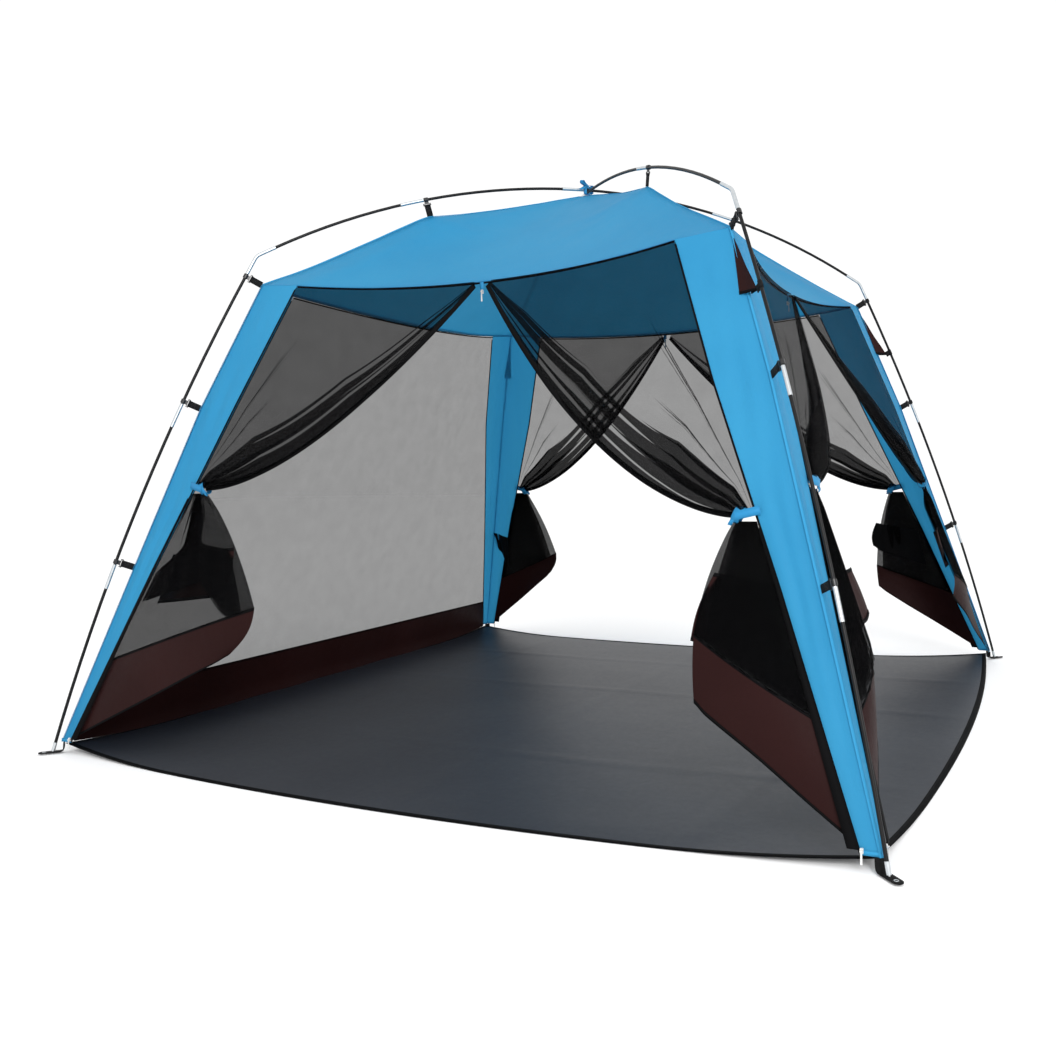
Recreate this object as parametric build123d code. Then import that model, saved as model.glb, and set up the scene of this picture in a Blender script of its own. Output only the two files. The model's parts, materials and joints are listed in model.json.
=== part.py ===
"""Screen gazebo: two crossed shock-corded poles that carry a canopy, leg covers, mesh and a groundsheet."""
import math
import os
from build123d import *

# Sizes in millimetres and degrees. Origin: middle of the floor, on the ground. Front faces -Y.
# Frame of the two crossed poles
foot_offset = 1500.0          # each foot from the centre line, along X and along Y
shoulder_offset = 943.0       # each elbow bend from the centre line, along X and along Y
shoulder_height = 1833.0
crown_height = 2163.0         # where the two poles cross
elbow_turn = 34.5             # bend of the steel elbow
elbow_bend_radius = 45.0
elbow_arm = 78.0              # straight arm of the elbow on each side of its bend
elbow_socket = 40.0           # how far each rod goes into the elbow
pole_diameter = 11.0
pole_bore = 6.5
sleeve_wall = 1.0             # steel of the elbows, ferrules and foot caps
sleeve_fit = 0.1              # how much wider their bore is than the rods
ferrule_length = 94.0
lower_rod_length = 668.0      # along the pole, from the foot cap's lower end to the first joint
middle_rod_length = 644.0
roof_rod_middle = 685.0       # the roof rod that ends just short of the crossing
shock_cord_diameter = 3.5
foot_cap_length = 32.0
foot_pin_diameter = 6.0
foot_pin_length = 11.0        # from the cap down to the ground
pole_clearance = 0.3          # between the poles where they cross, and inside every clip

# Clips and webbing that hang the cloth from the poles
strap_reach = 65.0            # pole axis to the ridge of the cloth
webbing_width = 25.0
webbing_thickness = 1.4
clip_wall = 3.0
clip_jaw_width = 16.0
clip_bar_reach = 21.5         # pole axis to the bar that the webbing goes round
clip_bar_diameter = 3.6
clip_frame_thickness = 4.0
clip_cheek = 2.6
clip_gap = 3.0                # ferrule or elbow end to the clip
running_clearance = 0.1
roof_clip_distance = 700.0    # along the pole, from the elbow bend to the roof clip

# Cloth
cloth_thickness = 2.0
seam_gap = 0.4
cover_bottom = 42.0           # lower edge of the leg covers above the ground
cover_foot_gap = 18.8         # pole axis to the cover's ridge, at the cover's lower edge
cover_width_foot = 48.0
cover_width_lower = 106.0
cover_width_upper = 172.0
cover_width_top = 185.0
eave_pull = 84.0              # how far the middle of each eave is drawn inward
eave_dip = 44.0
eave_corner_drop = 18.0
gore_bulge = 22.0
canopy_peak_gap = 3.0         # crossing poles to the cloth peak
piping_diameter = 6.0

# Groundsheet
floor_corner_offset = 1461.0
floor_corner_lift = 30.0      # corners are sewn to the foot of the covers
floor_bulge = {"front": 110.0, "right": 75.0, "back": -120.0, "left": 45.0}
floor_thickness = 1.5

# Closed wall, skirt, and the doors that are tied back to the legs
skirt_height = 190.0
door_top_gap = 45.0           # middle of the eave to the top of each tied-back half
door_parting = 15.0           # middle of the doorway to the line of each gathered edge
# Each half door: its side, 1 towards +X or -1 towards -X of that side's own front view, the height it is tied at,
# how hard its gathered edge hangs, and the free end of its hem (offset, height)
doors = {
    "front_right": ("front", 1, 866.0, 1.9, (945.0, 545.0)),
    "front_left": ("front", -1, 958.0, 2.3, (655.0, 600.0)),
    "right_back": ("right", 1, 900.0, 1.9, (935.0, 560.0)),
    "right_front": ("right", -1, 948.0, 2.0, (900.0, 590.0)),
    "back_left": ("back", 1, 881.0, 1.7, (909.0, 560.0)),
    "back_right": ("back", -1, 870.0, 1.8, (940.0, 550.0)),
}
tie_from_cover = 44.0
gather_top = 8.0              # half width of the gathered edge at its top, and at the tie
gather_tie = 20.0
tie_drop = 32.0               # gathered edge to the top of the fall below the tie
fall_cover_height = 341.0
fall_billow = 45.0
flap_width = 175.0            # brown flap along the hem
flap_foot_gap = 20.0          # cover's lower edge to the flap's
tie_width = 16.0
tie_thickness = 1.6
tie_tail = 45.0

# Zips
slider_length = 14.0
slider_width = 9.0
slider_height = 5.0
ear_thickness = 1.0
pull_length = 34.0
pull_width = 6.0
pull_thickness = 1.6
pull_pin_diameter = 1.8
zip_tab_width = 16.0
zip_tab_length = 26.0
foot_zip_rise = 12.0          # cover's lower edge to the foot zips' pivots

# Vent hoods
hood_drop = 42.0              # shoulder corner down to the hood's apex
hood_height = 195.0
hood_side = 24.0              # ridge to the hood's lower corners
hood_loop_step = 267.0        # shoulder clip to the hood's loop, along the pole
hood_tip_reach = 24.0         # pole axis to the hood's tip
hood_loop_slack = 1.2         # the loop is that much wider than the pole, all round

# Feet
foot_webbing_width = 30.0
foot_webbing_thickness = 3.0
foot_webbing_rise = 5.0       # above the ground, on the shoulder of the pin
foot_tongue = 46.0            # beyond the pin, where the peg goes
peg_hole_diameter = 8.0
peg_hole_from_pin = 28.0

# Ribbon tied round the crossing
ribbon_width = 14.0
ribbon_thickness = 1.6
bow_length = 52.0
bow_height = 15.0

root_two = math.sqrt(2.0)
sleeve_bore = pole_diameter + sleeve_fit
sleeve_diameter = sleeve_bore + 2 * sleeve_wall
corners = {"front_right": -45.0, "back_right": 45.0, "back_left": 135.0, "front_left": 225.0}
sides = {"front": 0.0, "right": 90.0, "back": 180.0, "left": 270.0}

parts = {}


def keep(name, *solids):
    """Adds solids to the node of that name."""
    for solid in solids:
        parts.setdefault(name, []).extend(solid.solids())


# ---------------------------------------------------------------- the poles' line
def along(reach, height):
    return Vector(reach, 0, height)


class PoleLine:
    """Half a pole in its upright diagonal plane: foot, bowed leg, elbow, roof arc, crown."""

    def __init__(self, crown):
        reach = shoulder_offset * root_two
        foot_reach = foot_offset * root_two
        rise = crown - shoulder_height
        roof_radius = (reach**2 + rise**2 - elbow_arm**2) / (2 * rise)
        roof_slope = math.atan2(reach, roof_radius - rise) - math.atan2(elbow_arm, roof_radius)
        leg_slope = roof_slope + math.radians(elbow_turn)
        bend = along(reach, shoulder_height)
        roof_heading = along(math.cos(roof_slope), -math.sin(roof_slope))
        leg_heading = along(math.cos(leg_slope), -math.sin(leg_slope))
        roof_end = bend - roof_heading * elbow_arm
        leg_end = bend + leg_heading * elbow_arm
        half = roof_slope / 2
        roof_middle = along(roof_radius * math.sin(half), crown - roof_radius * (1 - math.cos(half)))
        foot = along(foot_reach, 0)
        setback = elbow_bend_radius * math.tan(math.radians(elbow_turn) / 2)
        bend_start = bend - roof_heading * setback
        bend_end = bend + leg_heading * setback
        leg_middle = Edge.make_tangent_arc(leg_end, leg_heading, foot).position_at(0.5)
        leg = Edge.make_three_point_arc(foot, leg_middle, leg_end)
        elbow = [
            Edge.make_line(leg_end, bend_end),
            Edge.make_tangent_arc(bend_end, leg_heading * -1, bend_start),
            Edge.make_line(bend_start, roof_end),
        ]
        roof = Edge.make_three_point_arc(roof_end, roof_middle, along(0, crown))
        self.line = Wire([leg] + elbow + [roof])
        self.length = self.line.length
        self.elbow_start = leg.length
        self.elbow_end = self.length - roof.length

    def at(self, distance):
        """Point and heading, towards the crown, at a distance from the foot."""
        share = distance / self.length
        return self.line.position_at(share), self.line.tangent_at(share)

    def stretch(self, first, last):
        """The line between two distances from the foot."""
        return self.line.trim(first / self.length, last / self.length)


def tube(path, outer, inner=0.0):
    """A round tube, or a rod where inner is 0, along a path of lines and arcs."""
    lengths = []
    for edge in path.edges():
        start, heading = edge @ 0, edge % 0
        section = Circle(outer / 2) - Circle(inner / 2) if inner else Circle(outer / 2)
        section = Plane(origin=start, z_dir=heading) * section
        if edge.geom_type == GeomType.LINE:
            lengths.append(extrude(section, amount=edge.length, dir=heading))
        else:
            centre = edge.arc_center
            axis = Axis(centre, (start - centre).cross(heading))
            lengths.append(revolve(section, axis, math.degrees(edge.length / edge.radius)))
    return lengths[0] if len(lengths) == 1 else lengths[0] + lengths[1:]


crossing_offset = (pole_diameter + pole_clearance) / 2
over = PoleLine(crown_height + crossing_offset)
under = PoleLine(crown_height - crossing_offset)
# Pole one runs from the front left foot to the back right, over pole two
pole_ends = {"front_left": (over, True), "back_right": (over, False),
             "back_left": (under, True), "front_right": (under, False)}


def turned(angle, solid):
    return Rot(Z=angle) * solid


# ---------------------------------------------------------------- stations along each pole
lower_joint = foot_pin_length + lower_rod_length
upper_joint = lower_joint + middle_rod_length
clip_step = ferrule_length / 2 + clip_gap + clip_jaw_width / 2


def clip_stations(line):
    """Distance from the foot to the middle of each clip's jaw."""
    return {
        "lower": lower_joint + clip_step,
        "upper": upper_joint + clip_step,
        "shoulder": line.elbow_start - clip_gap - clip_jaw_width / 2,
        "roof": (line.elbow_start + line.elbow_end) / 2 + roof_clip_distance,
    }


def strap_frame(line, distance):
    """Frame on the pole: X towards the cloth, Z along the pole to the crown."""
    point, heading = line.at(distance)
    return Plane(origin=point, x_dir=(-heading.Z, 0, heading.X), z_dir=heading)


def ridge_point(line, distance):
    """Where a strap meets the cloth's ridge, in the corner's diagonal plane."""
    return strap_frame(line, distance).from_local_coords(Vector(strap_reach, 0, 0))


# ---------------------------------------------------------------- poles
def rod(line, first, last):
    return tube(line.stretch(first, last), pole_diameter, pole_bore)


def sleeve(line, middle):
    """Steel ferrule round the butt joint of two rods."""
    path = line.stretch(middle - ferrule_length / 2, middle + ferrule_length / 2)
    return tube(path, sleeve_diameter, sleeve_bore)


def build_poles():
    crown_halves, cord_halves = {}, {}
    for corner, (line, starts_here) in pole_ends.items():
        angle = corners[corner]
        leg_rods = [
            rod(line, foot_pin_length, lower_joint),
            rod(line, lower_joint, upper_joint),
            rod(line, upper_joint, line.elbow_start + elbow_socket),
        ]
        keep("leg_rods_" + corner, *[turned(angle, solid) for solid in leg_rods])
        elbow = tube(line.stretch(line.elbow_start, line.elbow_end), sleeve_diameter, sleeve_bore)
        keep("shoulder_elbows", turned(angle, elbow))
        roof_clip = clip_stations(line)["roof"]
        crown = line.length
        if starts_here:
            first = roof_clip - clip_step
            last = first + roof_rod_middle
            joints = [first, last]
            rods = [rod(line, line.elbow_end - elbow_socket, first), rod(line, first, last)]
        else:
            last = roof_clip + clip_step
            joints = [last]
            rods = [rod(line, line.elbow_end - elbow_socket, last)]
        pole = "over" if line is over else "under"
        keep("roof_rods_" + pole, *[turned(angle, solid) for solid in rods])
        crown_halves.setdefault("roof_rods_" + pole, []).append(turned(angle, rod(line, last, crown)))
        for joint in [lower_joint, upper_joint] + joints:
            keep("ferrules", turned(angle, sleeve(line, joint)))
        cap_end = foot_pin_length + foot_cap_length
        cap = tube(line.stretch(foot_pin_length, cap_end), sleeve_diameter, sleeve_bore)
        keep("foot_caps", turned(angle, cap))
        keep("foot_pins", turned(angle, tube(line.stretch(0, cap_end), foot_pin_diameter)))
        cord = tube(line.stretch(cap_end, crown), shock_cord_diameter)
        cord_halves.setdefault(pole, []).append(turned(angle, cord))
    for halves in cord_halves.values():
        keep("shock_cords", halves[0] + halves[1])
    for name, halves in crown_halves.items():
        keep(name, halves[0] + halves[1])



# ---------------------------------------------------------------- clips and webbing
clip_seat = pole_diameter / 2 + pole_clearance
clip_bar_radius = clip_bar_diameter / 2
webbing_inner = clip_bar_radius + running_clearance
webbing_outer = webbing_inner + webbing_thickness
slot_length = webbing_width + 2 * clip_cheek / 4
frame_width = slot_length + 2 * clip_cheek
slot_depth = webbing_outer + webbing_thickness


def pole_clip():
    """Snap clip for a pole on Z: jaw open to +Y, neck, and a slotted frame with a round bar."""
    slot_start = clip_bar_reach - slot_depth
    frame_start = slot_start - clip_cheek
    jaw = Circle(clip_seat + clip_wall)
    jaw += Pos((clip_seat + frame_start) / 2, 0) * Rectangle(frame_start - clip_seat + clip_wall, clip_frame_thickness)
    jaw -= Circle(clip_seat)
    way_out = Circle(clip_bar_reach + clip_seat) - Circle(clip_bar_reach - clip_seat)
    way_out = Pos(clip_bar_reach, 0) * way_out & Pos(0, clip_bar_reach) * Rectangle(4 * clip_seat, 2 * clip_bar_reach)
    jaw = extrude(jaw - way_out, amount=clip_jaw_width / 2, both=True)
    frame_length = clip_bar_reach - frame_start
    frame = Pos(frame_start + frame_length / 2, 0, 0) * Box(frame_length, clip_frame_thickness, frame_width)
    slot = Pos(slot_start + slot_depth / 2 + clip_bar_radius, 0, 0)
    frame -= slot * Box(slot_depth + 2 * clip_bar_radius, 2 * clip_frame_thickness, slot_length)
    frame += Pos(clip_bar_reach, 0, 0) * Cylinder(clip_bar_radius, frame_width)
    for end in (-1, 1):
        knuckle = Cylinder(clip_frame_thickness / 2, clip_cheek)
        frame += Pos(clip_bar_reach, 0, end * (slot_length + clip_cheek) / 2) * knuckle
    return (jaw + frame).solid()


def strap_webbing():
    """Webbing that goes round the clip's bar and back to the cloth, doubled and stitched."""
    merge = 2.5 * webbing_outer
    end = strap_reach - cloth_thickness / root_two - seam_gap
    loop = make_hull(Circle(webbing_outer).edges() + (Pos(merge, 0) * Circle(webbing_thickness)).edges())
    band_length = end - clip_bar_reach - merge
    loop += Pos(merge + band_length / 2, 0) * Rectangle(band_length, 2 * webbing_thickness)
    eye = make_hull(Circle(webbing_inner).edges() + (Pos(webbing_outer, 0) * Circle(webbing_thickness / 4)).edges())
    return extrude(Pos(clip_bar_reach, 0, 0) * (loop - eye), amount=webbing_width / 2, both=True).solid()


def build_clips():
    clip, webbing = pole_clip(), strap_webbing()
    for corner, (line, _) in pole_ends.items():
        for station, distance in clip_stations(line).items():
            place = Rot(Z=corners[corner]) * strap_frame(line, distance).location
            keep(f"pole_clip_{corner}_{station}", place * clip)
            keep("strap_webbing", place * webbing)


# ---------------------------------------------------------------- sheets of cloth
def closed_solid(triangles):
    """A solid from triangles that close; those with two corners in one place are left out."""
    faces = []
    for a, b, c in triangles:
        if (a - b).length > 1e-6 and (b - c).length > 1e-6 and (c - a).length > 1e-6:
            faces.append(Face(Wire.make_polygon([a, b, c])))
    solid = Solid(Shell(faces))
    return solid if solid.volume > 0 else Solid(Shell([-face for face in faces]))


def mitre(rows, i, j, thickness):
    """Half the thickness along the mean normal at a grid point, longer where the cloth folds."""
    normals = []
    for di in (-1, 0):
        for dj in (-1, 0):
            r, c = i + di, j + dj
            if 0 <= r < len(rows) - 1 and 0 <= c < len(rows[0]) - 1:
                across = rows[r + 1][c + 1] - rows[r][c]
                other = rows[r + 1][c] - rows[r][c + 1]
                normals.append(across.cross(other).normalized())
    mean = sum(normals, Vector(0, 0, 0)).normalized()
    return mean * (thickness / 2 / max(0.5, mean.dot(normals[0])))


def cloth(rows, thickness=cloth_thickness, lift=None):
    """A sheet through rows of points, thickened about them, or only along lift where that is given."""
    count, width = len(rows), len(rows[0])
    top, bottom = [], []
    for i in range(count):
        steps = [lift or mitre(rows, i, j, thickness) for j in range(width)]
        top.append([point + step for point, step in zip(rows[i], steps)])
        bottom.append([point - step for point, step in zip(rows[i], steps)])
    joined = all((row[0] - row[-1]).length < 1e-6 for row in rows)
    triangles = []
    for i in range(count - 1):
        for j in range(width - 1):
            for layer in (top, bottom):
                triangles.append((layer[i][j], layer[i][j + 1], layer[i + 1][j + 1]))
                triangles.append((layer[i][j], layer[i + 1][j + 1], layer[i + 1][j]))
    rims = [[(0, j), (0, j + 1)] for j in range(width - 1)]
    rims += [[(count - 1, j), (count - 1, j + 1)] for j in range(width - 1)]
    if not joined:
        rims += [[(i, 0), (i + 1, 0)] for i in range(count - 1)]
        rims += [[(i, width - 1), (i + 1, width - 1)] for i in range(count - 1)]
    for (i, j), (k, l) in rims:
        if (rows[i][j] - rows[k][l]).length > 1e-6:
            triangles.append((top[i][j], top[k][l], bottom[k][l]))
            triangles.append((top[i][j], bottom[k][l], bottom[i][j]))
    return closed_solid(triangles)


def strand(points, halves, corners_round=8):
    """A soft rope of cloth through points, with its half width and half depth at each."""
    rings = []
    for i, point in enumerate(points):
        heading = (points[min(i + 1, len(points) - 1)] - points[max(i - 1, 0)]).normalized()
        side = heading.cross(Vector(0, 1, 0)).normalized()
        out = side.cross(heading)
        ring = []
        for step in range(corners_round):
            turn = 2 * math.pi * step / corners_round
            wide, deep = halves[i]
            ring.append(point + side * (wide * math.cos(turn)) + out * (deep * math.sin(turn)))
        rings.append(ring)
    triangles = []
    for i in range(len(rings) - 1):
        for j in range(corners_round):
            k = (j + 1) % corners_round
            triangles.append((rings[i][j], rings[i][k], rings[i + 1][k]))
            triangles.append((rings[i][j], rings[i + 1][k], rings[i + 1][j]))
    for ring in (rings[0], rings[-1]):
        triangles += [(ring[0], ring[j], ring[j + 1]) for j in range(1, corners_round - 1)]
    return closed_solid(triangles)


# ---------------------------------------------------------------- where the cloth lies
def ridge_line(line):
    """The cover's ridge in the diagonal plane: reach from the middle, and height, from the foot up."""
    stations = clip_stations(line)
    pole = line.at(cover_bottom / line.at(0)[1].Z)[0]
    foot = Vector(pole.X - cover_foot_gap, 0, cover_bottom)
    return [foot] + [ridge_point(line, stations[name]) for name in ("lower", "upper", "shoulder")]


ridge = ridge_line(over)
cover_widths = [cover_width_foot, cover_width_lower, cover_width_upper, cover_width_top]
eave_corner = ridge[3].X / root_two
eave_height = ridge[3].Z


def between(value, low, high, first, last):
    return first + (last - first) * (value - low) / (high - low)


def face_offset(height):
    """How far the flat faces stand from the middle at a height."""
    for low, high in zip(ridge, ridge[1:]):
        if height <= high.Z or high is ridge[-1]:
            return between(height, low.Z, high.Z, low.X, high.X) / root_two


def cover_width(height):
    for low, high, first, last in zip(ridge, ridge[1:], cover_widths, cover_widths[1:]):
        if height <= high.Z or high is ridge[-1]:
            return between(height, low.Z, high.Z, first, last)


def cover_edge(height):
    """Where the cover's free edge stands along the side at a height."""
    return face_offset(height) - cover_width(height)


eave_inner = cover_edge(eave_height - eave_corner_drop)


def slack(x):
    """1 in the middle of a side, 0 from the covers' inner corners outward."""
    return max(0.0, 1 - (x / eave_inner) ** 2)


def eave(x):
    """The canopy's front edge: depth and height at a distance along the side."""
    height = eave_height - eave_corner_drop * min(1.0, (eave_corner - abs(x)) / (eave_corner - eave_inner))
    return Vector(x, eave_pull * slack(x) - face_offset(height), height - eave_dip * slack(x))


def on_side(x, height, out=0.0):
    """A point on the front side's cloth; the middle is drawn in towards the eave."""
    drawn = eave_pull * slack(x) * (height / (eave_height - eave_dip)) ** 2
    return Vector(x, drawn - face_offset(height) - out, height)


def under_eave(x):
    return eave(x) - Vector(0, 0, cloth_thickness + seam_gap)


# ---------------------------------------------------------------- canopy and leg covers
canopy_peak = crown_height - crossing_offset - sleeve_diameter / 2 - canopy_peak_gap - cloth_thickness / 2
across = [-1.0, -0.75, -0.5, -0.25, 0.0, 0.25, 0.5, 0.75, 1.0]
canopy_columns = [-1.0] + [share * eave_inner / eave_corner for share in across] + [1.0]


def ridge_height(line, reach):
    """The canopy's ridge below one pole: straight from the peak to the roof strap, then to the corner."""
    roof_clip = ridge_point(line, clip_stations(line)["roof"])
    if reach < roof_clip.X:
        return between(reach, 0, roof_clip.X, canopy_peak, roof_clip.Z)
    return between(reach, roof_clip.X, ridge[3].X, roof_clip.Z, eave_height)


def canopy_rows(left, right, rings=6):
    """One quarter of the canopy, from its peak to its eave, between the ridges below two poles."""
    peak = Vector(0, 0, canopy_peak)
    rows = []
    for ring in range(rings + 1):
        share = ring / rings
        reach = share * ridge[3].X
        corner = reach / root_two
        row = []
        for column in canopy_columns:
            ridge_z = ridge_height(left if column < 0 else right, reach)
            straight = peak + (eave(column * eave_corner) - peak) * share
            bulge = gore_bulge * 4 * share * (1 - share) * (1 - abs(column))
            height = straight.Z + (ridge_z - between(share, 0, 1, peak.Z, eave_height)) * column**2 + bulge
            depth = -corner if abs(column) == 1 else straight.Y
            row.append(Vector(column * corner, depth, height))
        rows.append(row)
    return rows


def build_canopy():
    quarters = [canopy_rows(over, under), canopy_rows(under, over)] * 2
    rows = []
    for parts_of_ring in zip(*quarters):
        ring = []
        for step, row in enumerate(parts_of_ring):
            ring += [(Rot(Z=90 * step) * Vertex(point)).center() for point in row[:-1]]
        rows.append(ring + [ring[0]])
    keep("roof_canopy", cloth(rows, lift=Vector(0, 0, cloth_thickness / 2)))


def build_leg_covers():
    rows = []
    for point, width in zip(ridge[:-1], cover_widths):
        q = point.X / root_two
        rows.append([Vector(q - width, -q, point.Z), Vector(q, -q, point.Z), Vector(q, width - q, point.Z)])
    outer = under_eave(eave_corner)
    inner = under_eave(eave_inner)
    inner = on_side(cover_edge(inner.Z), inner.Z)
    rows.append([inner, outer, Vector(-inner.Y, -inner.X, inner.Z)])
    cover = cloth(rows)
    for corner, angle in corners.items():
        keep("leg_cover_" + corner, turned(angle - corners["front_right"], cover))


# ---------------------------------------------------------------- closed wall, skirt and groundsheet


def floor_lift(s, t):
    """Height of the groundsheet's underside; s and t run from -1 to 1 across it."""
    return floor_corner_lift * max(0.0, (abs(s) + abs(t) - 1.6) / 0.4) ** 2


def floor_point(s, t):
    side = floor_bulge["right" if s > 0 else "left"]
    end = floor_bulge["back" if t > 0 else "front"]
    x = s * (floor_corner_offset + side * (1 - t**2))
    y = t * (floor_corner_offset + end * (1 - s**2))
    return Vector(x, y, floor_lift(s, t) + floor_thickness / 2)


def build_floor():
    rows = [[floor_point(s, t) for s in across] for t in across]
    keep("groundsheet", cloth(rows, lift=Vector(0, 0, floor_thickness / 2)))


def wall_row(height):
    edge = cover_edge(height) - seam_gap
    return [on_side(share * edge, height) for share in across]


def build_wall():
    """The closed side: mesh down to a solid skirt that stands on the groundsheet."""
    top = []
    for share in across:
        edge = under_eave(share * (eave_inner - seam_gap))
        top.append(edge)
    heights = [skirt_height, ridge[1].Z, (ridge[1].Z + ridge[2].Z) / 2, ridge[2].Z]
    keep("mesh_wall_left", turned(sides["left"], cloth([wall_row(height) for height in heights] + [top])))
    foot = []
    for share in across:
        height = max(floor_lift(1, share), 0) + floor_thickness + seam_gap
        foot.append(on_side(share * (cover_edge(cover_bottom) - seam_gap), height))
    middle = wall_row((skirt_height + cover_bottom) / 2)
    skirt = cloth([foot, middle, wall_row(skirt_height - seam_gap)])
    keep("wall_skirt_left", turned(sides["left"], skirt))


# ---------------------------------------------------------------- doors, each in two halves
swag_steps = 9


def swag(share, tie_height, power):
    """The gathered edge of the right half, from the top of the doorway to the tie."""
    top = eave(0).Z - door_top_gap
    x = between(share, 0, 1, door_parting, cover_edge(tie_height) - tie_from_cover)
    return on_side(x, tie_height + (top - tie_height) * (1 - share) ** power)


def gather(share):
    return between(share, 0, 1, gather_top, gather_tie)


def sewn_edge(tie_height):
    """Points on the edge that stays sewn, along the eave and then down the cover to the tie."""
    stops = [door_parting] + [share * eave_inner for share in across if 0 < share < 1]
    edge = [under_eave(x) for x in stops + [eave_inner - seam_gap]]
    last = tie_height + gather_tie + tie_thickness
    for height in (ridge[2].Z + 150, ridge[2].Z, (ridge[2].Z + tie_height) / 2, last):
        edge.append(on_side(cover_edge(height) - seam_gap, height))
    return edge


def door_half(tie_height, power, hem_end):
    """Mesh panel, gathered edge and fall below the tie, then the flap along the hem."""
    sewn = sewn_edge(tie_height)
    rows = []
    for step, outer in enumerate(sewn):
        share = step / (len(sewn) - 1)
        line = swag(share, tie_height, power)
        room = gather(share) + 2 * seam_gap + (tie_width + tie_thickness) * min(1.0, 3 * share**4)
        inner = line + (outer - line) * (room / (outer - line).length)
        rows.append([outer, (outer + inner) * 0.5, inner])
    panel = cloth(rows)
    points = [swag(step / swag_steps, tie_height, power) for step in range(swag_steps + 1)]
    halves = [(gather(step / swag_steps), gather(step / swag_steps) * 0.8) for step in range(swag_steps + 1)]
    rope = strand(points, halves)
    start = tie_height - tie_drop
    rows = []
    kink = between(ridge[1].Z, start, fall_cover_height, 0, 1)
    for share in (0.0, kink, (1 + kink) / 2, 1.0):
        height = between(share, 0, 1, start, fall_cover_height)
        free = between(share, 0, 1, start, hem_end[1])
        free_x = between(share, 0, 1, points[-1].X - gather_tie, hem_end[0])
        rows.append(hem_row(height, free_x, free, fall_billow * share))
    fall = cloth(rows)
    foot = cover_bottom + flap_foot_gap
    flap_rows = []
    for share in (0.0, 0.5, 1.0):
        height = between(share, 0, 1, fall_cover_height - 2 * seam_gap, foot)
        free = hem_end[1] - 2 * seam_gap - flap_width * share
        flap_rows.append(hem_row(height, hem_end[0], free, fall_billow * (1 - share)))
    return [panel, rope, fall], cloth(flap_rows)


def hem_row(cover_height, free_x, free_height, billow):
    """A row from the cover's edge to the free edge, blown outward between them."""
    row = []
    for share in (0.0, 0.3, 0.65, 1.0):
        x = between(share, 0, 1, cover_edge(cover_height) - seam_gap, free_x)
        height = between(share, 0, 1, cover_height, free_height)
        row.append(on_side(x, height, billow * math.sin(math.pi * 0.75 * share)))
    return row


def door_tie(tie_height, power):
    """Ribbon round the gathered edge at the tie, held by the cover's edge, with two tails."""
    end = swag(1, tie_height, power)
    back = (swag(1 - 1 / swag_steps, tie_height, power) - end).normalized()
    centre = end + back * (tie_width / 2 + tie_thickness)
    wide = gather_tie + 2 * seam_gap + tie_width / 2 * abs(back.Z)
    deep = gather_tie * 0.8 + 2 * seam_gap + tie_width / 2 * abs(back.Y)
    ring = Ellipse(deep + tie_thickness, wide + tie_thickness) - Ellipse(deep, wide)
    band = extrude(Plane(origin=centre, x_dir=(0, 1, 0), z_dir=(1, 0, 0)) * ring, amount=tie_width / 2, both=True)
    held = tie_from_cover + tie_width / 2 - 2 * seam_gap
    front = centre + Vector(0, -deep - 0.9 * tie_thickness, 0)
    strip = Pos(*(front + Vector(held / 2, 0, 0))) * Box(held, tie_thickness, tie_width)
    knot = Pos(*(front - Vector(0, tie_thickness, 0))) * Cylinder(tie_width * 0.45, 3 * tie_thickness, rotation=(90, 0, 0))
    tails = []
    for lean in (-14, 11):
        tail = Pos(0, 0, -tie_tail / 2) * Box(tie_width * 0.6, tie_thickness, tie_tail)
        tails.append(Pos(*(front - Vector(0, 1.6 * tie_thickness, 0))) * Rot(Y=lean) * tail)
    return (band + strip + knot + tails[0] + tails[1]).solid()


def build_doors():
    for name, (side, turn, tie_height, power, hem_end) in doors.items():
        mesh, flap = door_half(tie_height, power, hem_end)
        tie = door_tie(tie_height, power)
        place = Rot(Z=sides[side])
        for node, solids in ((f"door_mesh_{name}", mesh), (f"mud_flaps_{side}", [flap]), ("door_ties", [tie])):
            shown = [mirror(solid, Plane.YZ) for solid in solids] if turn < 0 else solids
            keep(node, *[place * solid for solid in shown])


# ---------------------------------------------------------------- zips
pull_eye_radius = pull_pin_diameter / 2 + running_clearance + 1.0
pivot_rise = slider_height / 2 + pull_eye_radius + 2 * seam_gap


def zip_slider():
    """Slider body behind its pivot, with two ears and the pin that carries the pull."""
    body = Pos(0, pivot_rise, 0) * Box(slider_width, slider_height, slider_length)
    body = fillet(body.edges().filter_by(Axis.Y), slider_width / 4)
    ear_middle = pull_width / 2 + running_clearance * 2 + ear_thickness / 2
    reach = pull_eye_radius + 2 * seam_gap
    for end in (-1, 1):
        ear = Pos(end * ear_middle, reach / 2, 0) * Box(ear_thickness, reach, 2 * pull_eye_radius)
        ear += Pos(end * ear_middle, 0, 0) * Cylinder(pull_eye_radius, ear_thickness, rotation=(0, 90, 0))
        body += ear
    pin = Cylinder(pull_pin_diameter / 2, 2 * ear_middle, rotation=(0, 90, 0))
    return (body + pin).solid()


def zip_pull():
    """Tapered pull that hangs from its eye."""
    eye = Cylinder(pull_eye_radius, pull_width, rotation=(0, 90, 0))
    plate = Plane.XZ * Polygon((-pull_width * 0.33, 0), (pull_width * 0.33, 0),
                               (pull_width / 2, -pull_length), (-pull_width / 2, -pull_length), align=None)
    plate = fillet(plate.vertices().sort_by(Axis.Z)[:2], pull_width / 3)
    pull = eye + extrude(plate, amount=pull_thickness / 2, both=True)
    return (pull - Cylinder(pull_pin_diameter / 2 + running_clearance, 2 * pull_width, rotation=(0, 90, 0))).solid()


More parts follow.
